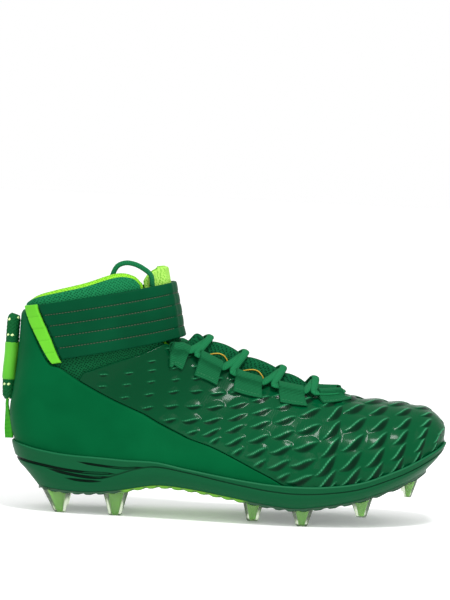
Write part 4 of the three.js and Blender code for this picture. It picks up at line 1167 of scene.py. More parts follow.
def ridge_places(base, normal):
    """Middle, direction, outward way and size of each ridge on one side's grid"""
    rows, columns = base.shape[:2]
    run = steps_along(base, 0)
    girth = steps_along(base, 1)
    found = []
    for band in range(RIDGE_BANDS):
        j = int((band + 0.5) / RIDGE_BANDS * (columns - 1))
        shift = 0.35 - RIDGE_STAGGER * band % 1
        for k in range(int(run[-1, j] / RIDGE_PITCH) + 2):
            reach = (k + shift) * RIDGE_PITCH
            if not 0.3 * RIDGE_PITCH < reach < run[-1, j] - 0.25 * RIDGE_PITCH:
                continue
            i = min(max(int(np.searchsorted(run[:, j], reach)), 1), rows - 2)
            along = unit(base[i + 1, j] - base[i - 1, j])
            up = unit(base[i, max(j - 1, 0)] - base[i, j + 1])
            room = np.clip(girth[i, -1] / (RIDGE_BANDS * RIDGE_ROOM), 0.4, 1.05)
            grown = 0.45 + 0.55 * smooth(*RIDGE_GROWTH, reach)
            found.append((base[i, j], unit(along + RIDGE_RISE * up), normal[i, j], room * grown))
    return found


def ridge_relief(base, normal):
    """Height share of the ridges at each point of the grid, and a colour tone with painted shade on their
    faces and a painted highlight along their crests
    """
    relief = np.zeros(base.shape[:2])
    tone = np.full(base.shape[:2], PLAIN_TONE)
    for centre, direction, out, size in ridge_places(base, normal):
        across = np.cross(out, direction)
        across *= 1 if across[2] > 0 else -1
        offset = base - centre
        near = np.sum(offset ** 2, axis=-1) < (1.3 * RIDGE_HALF_LENGTH) ** 2
        u = offset[near] @ direction / (RIDGE_HALF_LENGTH * size)
        v = offset[near] @ across
        taper = np.clip(1 - u ** 2, 0, 1) * (np.abs(offset[near] @ out) < RIDGE_REACH)
        crest = RIDGE_BEND * np.sin(PI * u) * size
        face = (RIDGE_FACE * taper + 0.3 * MM) * size
        slope = RIDGE_SLOPE * (0.35 + 0.65 * taper) * size
        above = v > crest
        height = np.where(above, 1 - (v - crest) / slope, 1 - (crest - v) / face)
        height = np.clip(height, 0, 1) * taper ** 0.6 * min(size, 1)
        relief[near] = np.maximum(relief[near], height)
        on_face = ~above & (height > 0)
        # A painted highlight along the crest and painted shade on the face
        line = np.exp(-((v - crest) / CREST_WIDTH) ** 2) * taper
        dark = np.where(on_face, smooth(0, 0.25, height) * taper ** 0.5, 0)
        shade = PLAIN_TONE - FACE_SHADE * dark + CREST_LIGHT * line
        changed = np.abs(shade - PLAIN_TONE) > np.abs(tone[near] - PLAIN_TONE)
        tone[near] = np.where(changed, np.clip(shade, 0, 1), tone[near])
    return relief, tone


def forefoot_skin():
    mesh = Mesh()
    for side in (-1, 1):
        grid = skin_grid(side)
        base = last_point(grid[..., 0], grid[..., 1])
        normal = last_normal(grid[..., 0], grid[..., 1])
        relief, tone = ridge_relief(base, normal)
        beside = edge_distance(base, ("first_column",))
        throat_side = np.where(grid[..., :1, 0] < THROAT_FRONT, beside, 1.0)
        edge = np.minimum(edge_distance(base, ("first_row", "last_column")), throat_side)
        keep = smooth(*RIDGE_EDGE_FADE, edge)
        tone = PLAIN_TONE + (tone - PLAIN_TONE) * keep
        tone = tone - ANKLE_SHADE * (1 - smooth(*ANKLE_SHADE_FADE, steps_along(base, 0)))
        full = rounded(edge, 0.9 * MM)
        outer = OVERLAY_GAP + SKIN_THICKNESS * full + RIDGE_HEIGHT * relief * keep
        top = base + normal * outer[..., None]
        uv = paired(steps_along(base, 0), steps_along(base, 1))
        mesh.add(top, facing(base, grid_faces(*edge.shape), normal), 0, uv, tone)
    settle(mesh, "ridged_forefoot", [skin_film], "skin", "forefoot_skin")


forefoot_skin()


# The smooth quarter round the heel, with a share of its rows along the seam at the back

SEAM_SHARE = 0.36


def quarter_panel():
    tape_edge = np.array([(at, strap_turn(TAPE_BACK, at) + 0.045) for at in TAPE_SECTIONS])
    rows = 150
    front = softened(resample(np.concatenate([tape_edge, diagonal]), rows), 6)
    mesh = Mesh()
    for side in (-1, 1):
        back_at = locate(QUARTER_TOP_BACK)[0]
        seam_rows = int(SEAM_SHARE * rows)
        seam = paired(np.linspace(back_at, skin_foot_line[0, 0], seam_rows), PI)
        foot = np.concatenate([foot_part(side, False), diagonal_end[None]])
        back = np.concatenate([seam[:-1], resample(foot, rows - seam_rows + 1)])
        grid = between(front, back, 70)
        grid[..., 1] *= side
        shell(mesh, grid, QUARTER_GAP + QUARTER_THICKNESS, QUARTER_GAP, SEAM_EDGES, 0.8 * MM)
    settle(mesh, "smooth_quarter", [quarter_film], "quarter", "quarter_panel")


quarter_panel()


# Stitches: short rounded threads laid along a line on the last, with their length, gap and thickness

STRAP_STITCH = (1.5 * MM, 0.6 * MM, 0.5 * MM)
EDGE_STITCH = (1.6 * MM, 0.6 * MM, 0.4 * MM)
KEEPER_STITCH = (1.5 * MM, 0.6 * MM, 0.45 * MM)
STITCH_SWELL = np.array([0.25, 0.85, 1, 0.85, 0.25])


def stitch_row(mesh, line, out, length, gap, thickness):
    fine = resample(line, len(line))
    points = place(fine[:, 0], fine[:, 1], out)
    normals = last_normal(fine[:, 0], fine[:, 1])
    reach = steps_along(points, 0)
    count = int(reach[-1] / (length + gap))
    for k in range(count):
        middle = (k + 0.5) * (length + gap)
        spots = middle + np.linspace(-0.5, 0.5, 5) * length
        bar = interpolated(spots, reach, points)
        up = interpolated(middle, reach, normals)
        size = thickness * STITCH_SWELL
        sweep(mesh, bar, up, size, size, 6, capped=False)


# The ankle strap: five bands between four stitched channels, and the tape on its free end

STRAP_BANDS = 5
CHANNEL_HALF = 0.55 * MM
CHANNEL_DEPTH = 0.55 * MM
STRAP_CREASE_TURN = 0.36
STRAP_CREASE = 0.8 * MM
STRAP_CREASE_SPREAD = 0.06
STRAP_CROWN = 0.2 * MM
STRAP_EASE = 0.4 * MM


def strap_grid(rows=150, columns=170):
    at = np.linspace(STRAP_TOP, STRAP_BOTTOM, rows)
    share = np.linspace(0, 1, columns)[None]
    lateral = -strap_turn(STRAP_END, at)[:, None]
    medial = strap_turn(STRAP_MEDIAL_END, at)[:, None]
    turn = lateral + (medial - lateral) * share
    return paired(at[:, None], turn)


def ankle_strap():
    grid = strap_grid()
    base = last_point(grid[..., 0], grid[..., 1])
    down = steps_along(base, 0)
    width = down[-1:] / STRAP_BANDS
    from_channel = np.abs((down + width / 2) % width - width / 2)
    at_edge = np.minimum(down, down[-1:] - down) < width / 2
    channel = np.where(at_edge, 0, np.exp(-(from_channel / CHANNEL_HALF) ** 2))
    crown = STRAP_CROWN * np.abs(np.sin(PI * down / width))
    from_crease = (np.abs(grid[..., 1]) - STRAP_CREASE_TURN) / STRAP_CREASE_SPREAD
    crease = STRAP_CREASE * np.exp(-from_crease ** 2)
    outer = STRAP_GAP + STRAP_THICKNESS - STRAP_EASE + crown + crease - CHANNEL_DEPTH * channel
    mesh = Mesh()
    shell(mesh, grid, outer, STRAP_GAP, ALL_EDGES, 1.1 * MM)
    piece = settle(mesh, "strap_bands", [strap_film], "strap", "ankle_strap")
    threads = Mesh()
    for band in range(1, STRAP_BANDS):
        share = band / STRAP_BANDS
        line = np.array([interpolated(share * down[-1, j], down[:, j], grid[:, j])
                         for j in range(2, grid.shape[1] - 2)])
        stitch_row(threads, line, STRAP_GAP + STRAP_THICKNESS - CHANNEL_DEPTH - 0.1 * MM, *STRAP_STITCH)
    settle(threads, "strap_stitches", [seam_thread], "strap", weld=0)


ankle_strap()

TAPE_GAP_TURN = 0.02
TAPE_FOLD = 0.5 * MM


def strap_tape():
    rows = 80
    at = np.linspace(STRAP_TOP - 0.02, STRAP_BOTTOM + 0.14, rows)
    share = np.linspace(0, 1, 24)[None]
    back = -strap_turn(TAPE_BACK, at)[:, None]
    front = -strap_turn(STRAP_END, at)[:, None] - TAPE_GAP_TURN
    grid = paired(at[:, None], back + (front - back) * share)
    step = np.abs(np.linspace(0, STRAP_BANDS, rows) % 1 - 0.5)
    fold = np.where(step > 0.42, (step - 0.42) / 0.08, 0)[:, None]
    outer = STRAP_GAP + TAPE_THICKNESS - TAPE_FOLD * fold
    mesh = Mesh()
    shell(mesh, grid, outer, STRAP_GAP, ALL_EDGES, 0.9 * MM)
    settle(mesh, "strap_end_tape", [tape_film], "tape", "strap_tape")


strap_tape()


# The tongue: lime knit above the strap, dark padded cloth with fine pipings under the laces

TONGUE_TOP_AT = 0.34
TONGUE_END_AT = 11.9
TONGUE_CROWN = 6.6 * MM
TONGUE_MIDDLE_DEPTH = 0.7 * MM
TONGUE_SIDE_DEPTH = 3.4 * MM
TONGUE_CROWN_TURN = 0.29
TONGUE_CROWN_FALL = 0.65
TONGUE_FRONT_DIP = 0.9 * MM
TONGUE_ROUND = 0.5
POD_HEIGHT = 3.6 * MM
POD_LEAST = 0.6
POD_REACH = 0.62
POD_TURNS = (0.1, 0.34)
BAND_HALF_TURN = 0.1
BAND_HEIGHT = 1.1 * MM
TONGUE_EASE = 0.3 * MM
LIME_UNTIL = 2.6


def tongue_out(at, turn):
    turn = np.abs(turn)
    in_collar = -TONGUE_MIDDLE_DEPTH - TONGUE_SIDE_DEPTH * smooth(0.3, 0.5, turn)
    share = smooth(STRAP_BOTTOM + 0.1, 4, at) * (1 - TONGUE_CROWN_FALL * smooth(9, TONGUE_END_AT, at))
    crown = TONGUE_CROWN * share * (1 - smooth(0, TONGUE_CROWN_TURN, turn))
    under = crown - (UPPER_WALL + 1 * MM) - TONGUE_FRONT_DIP * smooth(10.4, TONGUE_END_AT, at)
    return in_collar + (under - in_collar) * smooth(2.5, 3.5, at)


def pods(at, turn):
    """Fullness of the tongue between the crossings of the lace"""
    lift = np.zeros(np.broadcast(at, turn).shape)
    for first, last in KEEPER_ROWS:
        middle = (first + last) / 2
        half = POD_REACH * (last - first)
        lift = np.maximum(lift, np.clip(1 - ((at - middle) / half) ** 2, 0, 1) ** 0.7)
    pod = POD_HEIGHT * (POD_LEAST + (1 - POD_LEAST) * lift) * (1 - smooth(*POD_TURNS, np.abs(turn)))
    band = BAND_HEIGHT * (1 - smooth(0.8, 1.1, np.abs(turn) / BAND_HALF_TURN))
    band = band * (1 - smooth(10.8, 11.3, at))
    return (pod * (1 - 0.6 * smooth(10, 11.6, at)) + band) * smooth(3.2, 3.8, at)


def tongue_half(at):
    tucked = np.where(at < 3, -0.12, 0.14)
    half = throat_turn(at) - 0.12 + (tucked + 0.12) * smooth(3.4, 4.6, at)
    top = np.sqrt(np.maximum(1 - ((TONGUE_TOP_AT + TONGUE_ROUND - at) / TONGUE_ROUND) ** 2, 0.3))
    return half * np.where(at < TONGUE_TOP_AT + TONGUE_ROUND, top, 1)


def tongue():
    at = np.linspace(TONGUE_TOP_AT, TONGUE_END_AT, 180)
    turn = tongue_half(at)[:, None] * np.linspace(-1, 1, 61)[None]
    grid = paired(at[:, None], turn)
    spots = (grid[..., 0], grid[..., 1])
    outer = tongue_out(*spots) - TONGUE_EASE + pods(*spots)
    low = np.minimum(tongue_out(*spots), -UPPER_WALL + 1 * MM)
    inner = low - TONGUE_THICKNESS * (1 - 0.4 * smooth(10, 12, grid[..., 0]))
    quads = grid_faces(*grid.shape[:2])
    slots = np.where(grid[..., 0].ravel()[quads[:, 0]] < LIME_UNTIL, 0, 1)
    mesh = Mesh()
    shell(mesh, grid, outer, inner, ALL_EDGES, 2.2 * MM, slots, 2)
    piece = settle(mesh, "padded_tongue", [lime_mesh, tongue_cloth, lining], "tongue", "tongue")


tongue()

# Pipings on the tongue: arcs along both sides of its crown, beside the keepers
PIPING_SPANS = [(5.05, 6.9), (7.3, 8.9)]
PIPING_WIDTH = 0.9 * MM
PIPING_TURN = 0.27
PIPING_BOW = 0.1


def tongue_pipings():
    mesh = Mesh()
    for side in (-1, 1):
        for first, last in PIPING_SPANS:
            share = np.linspace(0, 1, 41)
            at = first + (last - first) * share
            turn = side * (PIPING_TURN - PIPING_BOW * np.sin(PI * share))
            line = place(at, turn, tongue_out(at, turn) + pods(at, turn) + 0.1 * MM)
            sweep(mesh, line, last_normal(at, turn), PIPING_WIDTH, PIPING_WIDTH, 8)
    settle(mesh, "tongue_pipings", [piping_thread], "tongue", weld=0)


tongue_pipings()


# Folded edge of the bootie along the throat, with its row of stitches

EDGE_WIDTH = 5 * MM
EDGE_HEIGHT = 1.3 * MM
EDGE_STITCH_OUT = 0.95 * MM


def throat_edge():
    mesh = Mesh()
    threads = Mesh()
    at = np.linspace(3.5, THROAT_FRONT - 0.05, 160)
    for side in (-1, 1):
        turn = side * (throat_turn(at) + 0.02)
        line = place(at, turn, 0.25 * MM)
        sweep(mesh, line, last_normal(at, turn), EDGE_WIDTH, EDGE_HEIGHT, 12)
        seam = paired(at, turn)
        stitch_row(threads, seam, EDGE_STITCH_OUT, *EDGE_STITCH)
    settle(mesh, "throat_edge", [tongue_cloth], "mesh", weld=0)
    settle(threads, "throat_stitches", [green_thread], "mesh", weld=0)


throat_edge()


# Webbing keepers: a band folded over the lace and sewn down on the skin

KEEPER_SEAT = OVERLAY_GAP + SKIN_THICKNESS + 0.75 * MM
TUNNEL_HEIGHT = LACE_DIAMETER + 0.8 * MM
TUNNEL_LENGTH = LACE_DIAMETER + 2 * MM
KEEPER_FRONT = -2 * MM
FRONT_KEEPER_SHARE = 0.62
HANG_SHARE = 0.84
HEM_SHARE_OF_KEEPER = 0.84
KEEPER_SLANT = 0.03
KEEPER_END_SHARE = 0.8
KEEPER_STATIONS = 16
PROFILE_POINTS = 56


def beside_throat(at, across):
    """Places at a distance from the throat's edge, square to the edge"""
    step = 0.1
    turn = throat_turn(at) + CUT_TURN
    run = (last_point(at + step, throat_turn(at + step) + CUT_TURN)
           - last_point(at - step, throat_turn(at - step) + CUT_TURN))
    along_section = (last_point(at, turn + step) - last_point(at, turn - step)) / (2 * step)
    over_sections = (last_point(at + step, turn) - last_point(at - step, turn)) / (2 * step)
    slant = -np.sum(along_section * run, axis=-1) / np.sum(over_sections * run, axis=-1)
    length = np.linalg.norm(along_section + over_sections * slant[..., None], axis=-1)
    return at + slant * across / length, turn + across / length


def keeper_profile():
    """Middle line of the folded band: distance from the throat's edge and height over the skin"""
    half = KEEPER_THICKNESS / 2
    bulge = KEEPER_FRONT + TUNNEL_LENGTH + 2 * KEEPER_THICKNESS
    top = TUNNEL_HEIGHT + 2 * KEEPER_THICKNESS
    points = [
        (KEEPER_DEPTH, half + 0.1 * MM),
        (bulge + 4 * MM, half + 0.3 * MM),
        (bulge + 0.8 * MM, half + 1.1 * MM),
        (bulge - half - 0.3 * MM, 0.55 * top),
        (bulge - 1.9 * MM, top - half - 0.3 * MM),
        ((bulge + KEEPER_FRONT) / 2, top - half),
        (KEEPER_FRONT + 1.9 * MM, top - half - 0.3 * MM),
        (KEEPER_FRONT + half + 0.2 * MM, 0.52 * top),
        (KEEPER_FRONT + 1.2 * MM, half + 0.4 * MM),
        (KEEPER_FRONT + 3.4 * MM, half),
        (bulge, half - 0.1 * MM),
    ]
    return through(points, PROFILE_POINTS)


def lace_keeper(mesh, threads, row, side):
    first, last = row
    line = keeper_profile()
    run = unit(np.gradient(line, axis=0))
    across = paired(-run[:, 1], run[:, 0])
    half = KEEPER_THICKNESS / 2 * np.ones(len(line))
    half[:2] *= KEEPER_END_SHARE
    outline = np.concatenate([line + across * half[:, None], (line - across * half[:, None])[::-1]])
    stations = np.linspace(first, last, KEEPER_STATIONS)
    short = FRONT_KEEPER_SHARE if last > THROAT_FRONT - 1 else HANG_SHARE
    reach = np.where(outline[:, 0] > 0, short, 1) * outline[:, 0]
    drawn = stations[:, None] + KEEPER_SLANT * np.maximum(reach, 0)[None] / MM
    at, turn = beside_throat(*np.broadcast_arrays(drawn, reach[None]))
    height = KEEPER_SEAT + np.broadcast_to(outline[:, 1], turn.shape)
    points = place(at, side * turn, height)
    along = steps_along(outline, 0)
    uv = paired(along, steps_along(points, 0))
    faces = grid_faces(len(points), len(outline), closed=True)
    centre = points.mean(axis=1, keepdims=True)
    own_way = np.cross(np.gradient(points, axis=1), np.gradient(points, axis=0))
    sign = -1 if np.sum(own_way[:, 5] * (points[:, 5] - centre[:, 0])) < 0 else 1
    mesh.add(points, facing(points, faces, sign * own_way), 0, uv)
    count = len(line)
    for ring, flip in ((points[0], 1), (points[-1], -1)):
        caps = [(k, k + 1, 2 * count - 2 - k, 2 * count - 1 - k)[::flip] for k in range(count - 1)]
        mesh.add(ring, caps, 0)
    hem_reach = HEM_SHARE_OF_KEEPER * KEEPER_DEPTH * short
    hem_stations = stations[1:-1] + KEEPER_SLANT * hem_reach / MM
    hem_at, hem_turn = beside_throat(hem_stations, np.full(len(hem_stations), hem_reach))
    hem = paired(hem_at, side * hem_turn)
    stitch_row(threads, hem, KEEPER_SEAT + KEEPER_THICKNESS + 0.2 * MM, *KEEPER_STITCH)


def lace_keepers():
    for side, word in ((-1, "lateral"), (1, "medial")):
        threads = Mesh()
        for k, row in enumerate(KEEPER_ROWS):
            mesh = Mesh()
            lace_keeper(mesh, threads, row, side)
            settle(mesh, f"keeper_band_{word}_{k + 1}", [keeper_web], "lace", f"keeper_{word}_{k + 1}")
        settle(threads, f"keeper_stitches_{word}", [green_thread], "lace", weld=0)


lace_keepers()


# The lace: two strands through the keepers, which cross on the tongue, and a bar at the front

LACE_SEAT = KEEPER_SEAT + KEEPER_THICKNESS + TUNNEL_HEIGHT / 2
LACE_ASIDE = 1.4 * MM
CROSSING_OVER = 3.9 * MM
CROSSING_UNDER = 1.4 * MM
TUNNEL_SHARES = (0.1, 0.5, 0.9)
MOUTH_SHARE = 0.16
MOUTH_SEAT = LACE_SEAT - 0.3 * MM


def tunnel_place(at, side):
    spot_at, turn = beside_throat(np.array(at, float), np.array(LACE_ASIDE))
    return float(spot_at), side * float(turn)


def lace_route(start_side):
    """Places of one strand from the ankle to the toe, with its height over the last"""
    rows = []
    side = start_side
    for k, (first, last) in enumerate(KEEPER_ROWS):
        for share in TUNNEL_SHARES:
            rows.append((*tunnel_place(first + (last - first) * share, side), LACE_SEAT))
        if k < len(KEEPER_ROWS) - 1:
            following = KEEPER_ROWS[k + 1][0]
            lift = CROSSING_OVER if side > 0 else CROSSING_UNDER
            beyond = MOUTH_SHARE * (following - last)
            rows.append((*tunnel_place(last + beyond, side), MOUTH_SEAT))
            rows.append(((last + following) / 2, 0, LACE_SEAT + lift))
            side = -side
            rows.append((*tunnel_place(following - beyond, side), MOUTH_SEAT))
    return np.array(rows)


def laced_strand(mesh, rows, count):
    points = place(rows[:, 0], rows[:, 1], rows[:, 2])
    normals = last_normal(rows[:, 0], rows[:, 1])
    line = through(np.concatenate([points, normals], axis=1), count)
    sweep(mesh, line[:, :3], line[:, 3:], LACE_WIDTH, LACE_THICKNESS, 16, pitch=LACE_PITCH)


def lace():
    mesh = Mesh()
    for start_side in (-1, 1):
        laced_strand(mesh, lace_route(start_side), 300)
    first, last = KEEPER_ROWS[-1]
    end_at, end_turn = tunnel_place(last, 1)
    bar = np.array([
        (end_at - 0.1, -end_turn, LACE_SEAT),
        (end_at + 0.08, -0.6 * end_turn, LACE_SEAT - 0.6 * MM),
        (end_at + 0.14, 0, LACE_SEAT - 1.2 * MM),
        (end_at + 0.08, 0.6 * end_turn, LACE_SEAT - 0.6 * MM),
        (end_at - 0.1, end_turn, LACE_SEAT),
    ])
    laced_strand(mesh, bar, 50)
    nodes = [f"lace_crossing_{k}" for k in range(1, len(KEEPER_ROWS))]
    settle(mesh, "flat_lace", [lace_weave], "lace", *nodes, weld=0)


lace()


# The sole tray

def side_of(line, side, out, level):
    places = at_stations(line, side)
    turn = side * places[:, 1]
    point = last_point(places[:, 0], turn)
    normal = last_normal(places[:, 0], turn)
    normal[0] = (-1, 0, normal[0, 2])
    normal[-1] = (1, 0, normal[-1, 2])
    if level:
        normal[:, 2] = 0
    return point + unit(normal) * out


def ring(line, out, height=None):
    out = np.broadcast_to(out, (RING_SIZE, 1))
    lateral = side_of(line, -1, out[:STATION_COUNT], height is not None)
    medial = side_of(line, 1, np.concatenate([out[:1], out[STATION_COUNT - 1:][::-1]]), height is not None)
    points = np.concatenate([lateral, medial[1:-1][::-1]])
    points[0, 1] = 0
    if height is not None:
        points[:, 2] = height(points[:, 0])
    return points


RING_SIZE = 2 * (STATION_COUNT - 1)
RING_STATIONS = np.concatenate([STATIONS, STATIONS[1:-1][::-1]])
WALL_INSIDE = QUARTER_GAP + QUARTER_THICKNESS + CLEARANCE + 0.4 * MM
INSOLE_INSET = -(UPPER_WALL + CLEARANCE + 0.4 * MM)
rim_ring = ring(rim_line, WALL_INSIDE + WALL_THICKNESS, wall_top)


def tucked_ring(drop, extra=0.0):
    """The rim's ring moved inwards and down by a share of the wall's height"""
    run = np.roll(rim_ring, -3, axis=0) - np.roll(rim_ring, 3, axis=0)
    run[:, 2] = 0
    run = unit(run)
    inward = np.stack([-run[:, 1], run[:, 0], np.zeros(RING_SIZE)], axis=-1)
    heel_turn = np.clip(1 - RING_STATIONS / HEEL_PIVOT, 0, 1)
    toe_turn = np.clip((RING_STATIONS - TOE_PIVOT) / TOE_ARC, 0, 1)
    heel = np.sin(heel_turn * PI / 2) ** 2
    toe = np.sin(toe_turn * PI / 2) ** 2
    side = SIDE_TUCK + (TOE_TUCK - SIDE_TUCK) * toe
    tuck = (table(TUCK_ROWS, TUCK_COLUMNS, "drop", "heel", drop) * HEEL_TUCK * heel
            + table(TUCK_ROWS, TUCK_COLUMNS, "drop", "side", drop) * side * (1 - heel))
    moved = rim_ring + inward * (tuck + extra)[:, None]
    top = wall_top(rim_ring[:, 0])
    moved[:, 2] = top + (sole_bottom(moved[:, 0]) - top) * drop
    return moved


# Grooves of the side wall: places as shares of the length and of the wall's height from its top, half
# height and depth
GROOVES = [
    ([(-0.03, 0.4), (0.014, 0.386), (0.072, 0.372), (0.185, 0.428), (0.25, 0.44)], 1.2 * MM, 1.5 * MM),
    ([(0.15, 0.13), (0.207, 0.2), (0.267, 0.24), (0.315, 0.18)], 1.0 * MM, 1.3 * MM),
    ([(0.08, 0.43), (0.133, 0.5), (0.193, 0.56), (0.24, 0.53)], 1.3 * MM, 1.5 * MM),
    ([(0.12, 0.62), (0.16, 0.66), (0.22, 0.68)], 1.1 * MM, 1.3 * MM),
    ([(0.2, 0.66), (0.245, 0.47), (0.282, 0.3), (0.33, 0.16), (0.4, 0.12), (0.5, 0.2), (0.6, 0.27),
      (0.75, 0.3), (0.9, 0.33), (1.03, 0.36)], 0.6 * MM, 0.6 * MM),
]
WALL_LEVELS = 80
LIP_LEAN_HEEL = 0.6 * MM
LIP_LEAN_TOE = 1.6 * MM
LIP_RISE = 0.9 * MM
LIP_LEAN_FROM = 120 * MM
LIP_LEAN_TO = 215 * MM
LIP_BULGE = 0.5 * MM
LIP_SPREAD = 0.12
LIP_STEPS = 9
GROOVE_END = 0.035
GROOVE_FLOOR = 0.45
INSIDE_LEVELS = (0.45, 0.72)
FLOOR_TONE = 0.8
# Tone of the lip: a painted highlight along the wall's top edge
LIP_HIGHLIGHT_TONE = 1.15


def groove_depth(x, drop, tall):
    depth = np.zeros(x.shape)
    along = x / SHOE_LENGTH
    for spots, half, deep in GROOVES:
        line = np.array(spots)
        middle = hermite(line[:, 0], line[:, 1], along)
        start = line[0, 0]
        stop = line[-1, 0]
        ends = (smooth(start, start + GROOVE_END, along)
                * (1 - smooth(stop - GROOVE_END, stop, along)))
        gap = np.abs(drop - middle) * tall / (half * np.maximum(ends, 0.05))
        depth = np.maximum(depth, deep * ends ** 0.5 * (1 - smooth(GROOVE_FLOOR, 1, gap)))
    return depth


def wall_rings():
    rings = []
    marks = []
    for drop in np.linspace(0, 1, WALL_LEVELS):
        plain = tucked_ring(drop)
        tall = wall_top(plain[:, 0]) - sole_bottom(plain[:, 0])
        depth = groove_depth(rim_ring[:, 0], drop, tall)
        lip = LIP_BULGE * np.exp(-(drop / LIP_SPREAD) ** 2)
        rings.append(tucked_ring(drop, depth - lip))
        # Painted shade: the tone darkens with the groove's depth
        marks.append(1 - np.clip(depth / (1.0 * MM), 0, 1))
    return rings, marks


def ring_faces(mesh, rings, marks):
    points = np.stack(rings)
    faces = grid_faces(len(rings), RING_SIZE, closed=True)
    uv = paired(steps_along(points, 1), steps_along(points, 0))
    mesh.add(points, faces, 0, uv, np.stack(marks))


def fill_ring(mesh, ring_points, up, mark):
    """The flat inside of a ring, from one side of the shoe to the other"""
    faces = []
    for k in range(STATION_COUNT - 1):
        a = k
        b = k + 1
        c = (RING_SIZE - b) % RING_SIZE
        d = (RING_SIZE - a) % RING_SIZE
        if a == 0:
            face = (a, b, c)
        elif b == STATION_COUNT - 1:
            face = (a, b, d)
        else:
            face = (a, b, c, d)
        mesh.faces.append(tuple(v + mesh.count for v in (face if up else face[::-1])))
        mesh.slots.append(0)
    mesh.add(ring_points, np.empty((0, 4), int), 0, ring_points[:, :2], np.full(len(ring_points), mark))


def sole_tray():
    floor = ring(feather_line, CLEARANCE, bed)
    levels = [skin_foot_line] + [wall_line(share) for share in INSIDE_LEVELS]
    inner = [ring(line, WALL_INSIDE) for line in levels]
    forward = smooth(LIP_LEAN_FROM, LIP_LEAN_TO, rim_ring[:, 0])
    lean = LIP_LEAN_HEEL + (LIP_LEAN_TOE - LIP_LEAN_HEEL) * forward
    lip = []
    for angle in np.linspace(PI, 0, LIP_STEPS):
        inside = (1 - math.cos(angle)) / 2
        out = WALL_INSIDE + WALL_THICKNESS * (1 - inside) - lean * inside
        edge = ring(rim_line, out[:, None], wall_top)
        edge[:, 2] += LIP_RISE * math.sin(angle)
        lip.append(edge)
    walls, groove_shade_marks = wall_rings()
    seat = ring(feather_line, INSOLE_INSET, bed)
    rings = [seat, floor, *inner, *lip, *walls]
    marks = [np.full(RING_SIZE, FLOOR_TONE)] * (2 + len(inner))
    marks += [np.full(RING_SIZE, LIP_HIGHLIGHT_TONE)] * len(lip) + groove_shade_marks
    mesh = Mesh()
    ring_faces(mesh, rings, marks)
    fill_ring(mesh, seat, True, FLOOR_TONE)
    fill_ring(mesh, walls[-1], False, FLOOR_TONE)
    settle(mesh, "moulded_tray", [sole_film], "sole", "sole_tray")


sole_tray()


# The stud plate: green with ribs and lime pads under the arch, and clear studs with lime cores

PLATE_INSET = 0.8 * MM
plate_top = tucked_ring(1.0, PLATE_INSET)
plate_top[:, 2] = sole_bottom(plate_top[:, 0]) - CLEARANCE
RIB_PITCH = 9 * MM
RIB_DEPTH = 0.9 * MM
ARCH_FROM = 80 * MM
ARCH_TO = 158 * MM
ARCH_FADE = 6 * MM
RIB_SLANT = 0.55
SPINE_HALF = 6 * MM
BORDER_FADE = (1.5 * MM, 3 * MM)


def plate_bottom(x):
    return sole_bottom(x) - CLEARANCE - PLATE_THICKNESS


def sole_half_width(x, side):
    near = plate_top[np.sign(plate_top[:, 1] - 0.2 * TOE_SWING) == side]
    return np.abs(near[np.argmin(np.abs(near[:, 0] - x)), 1])


def plate():
    lateral = plate_top[:STATION_COUNT]
    toe = STATION_COUNT - 1
    medial = np.concatenate([plate_top[:1], plate_top[STATION_COUNT:][::-1], plate_top[toe:STATION_COUNT]])
    share = np.linspace(0, 1, 44)[None, :, None]
    across = lateral[:, None] * (1 - share) + medial[:, None] * share
    x = across[..., 0]
    y = across[..., 1]
    edge = edge_distance(across, ("first_column", "last_column"))
    ribs = np.abs(((x + RIB_SLANT * np.abs(y)) / RIB_PITCH) % 1 - 0.5) * 2
    rib = smooth(0.35, 0.6, ribs)
    spine = np.exp(-(y / SPINE_HALF) ** 2)
    border = 1 - smooth(*BORDER_FADE, edge)
    full = np.maximum(np.maximum(rib * 0.9, spine), border * rib)
    arch = smooth(ARCH_FROM - ARCH_FADE, ARCH_FROM, x) * (1 - smooth(ARCH_TO, ARCH_TO + ARCH_FADE, x))
    lime_pads = arch * smooth(0.25, 0.45, ribs)
    low = across.copy()
    low[..., 2] = plate_bottom(x) + RIB_DEPTH * (1 - full)
    high = across.copy()
    high[..., 2] = sole_bottom(x) - CLEARANCE
    mesh = Mesh()
    faces = grid_faces(*x.shape)
    down = np.broadcast_to(np.array([0.0, 0, -1]), across.shape)
    mesh.add(low, facing(low, faces, down), 0, across[..., :2], lime_pads)
    mesh.add(high, facing(high, faces, -down), 0, across[..., :2], arch)
    for j in (0, x.shape[1] - 1):
        wall = np.stack([high[:, j], low[:, j]])
        tone = np.stack([arch[:, j], lime_pads[:, j]])
        mesh.add(wall, grid_faces(2, len(lateral)), 0, mark=tone)
    settle(mesh, "ribbed_plate", [plate_film], "studs", "stud_plate")


STUD_LEAN = {"heel_back": 2.6 * MM, "toe": -1 * MM}
STUD_SQUARENESS = 0.62
STUD_FLARE = 1.2
STUD_SIDES = 28
STUD_SINK = 0.4 * PLATE_THICKNESS
STUD_STEPS = 12
STUD_TIP_FROM = 0.93
STUD_TIP_SHARE = 0.88

# The two pieces of each stud: finish, share of its size at the root and at the tip, and height of its foot
STUD_PARTS = [
    ("core", lime_core, 0.6, 0.5, 1 * MM),
    ("shell", clear_shell, 1, 1, 0),
]


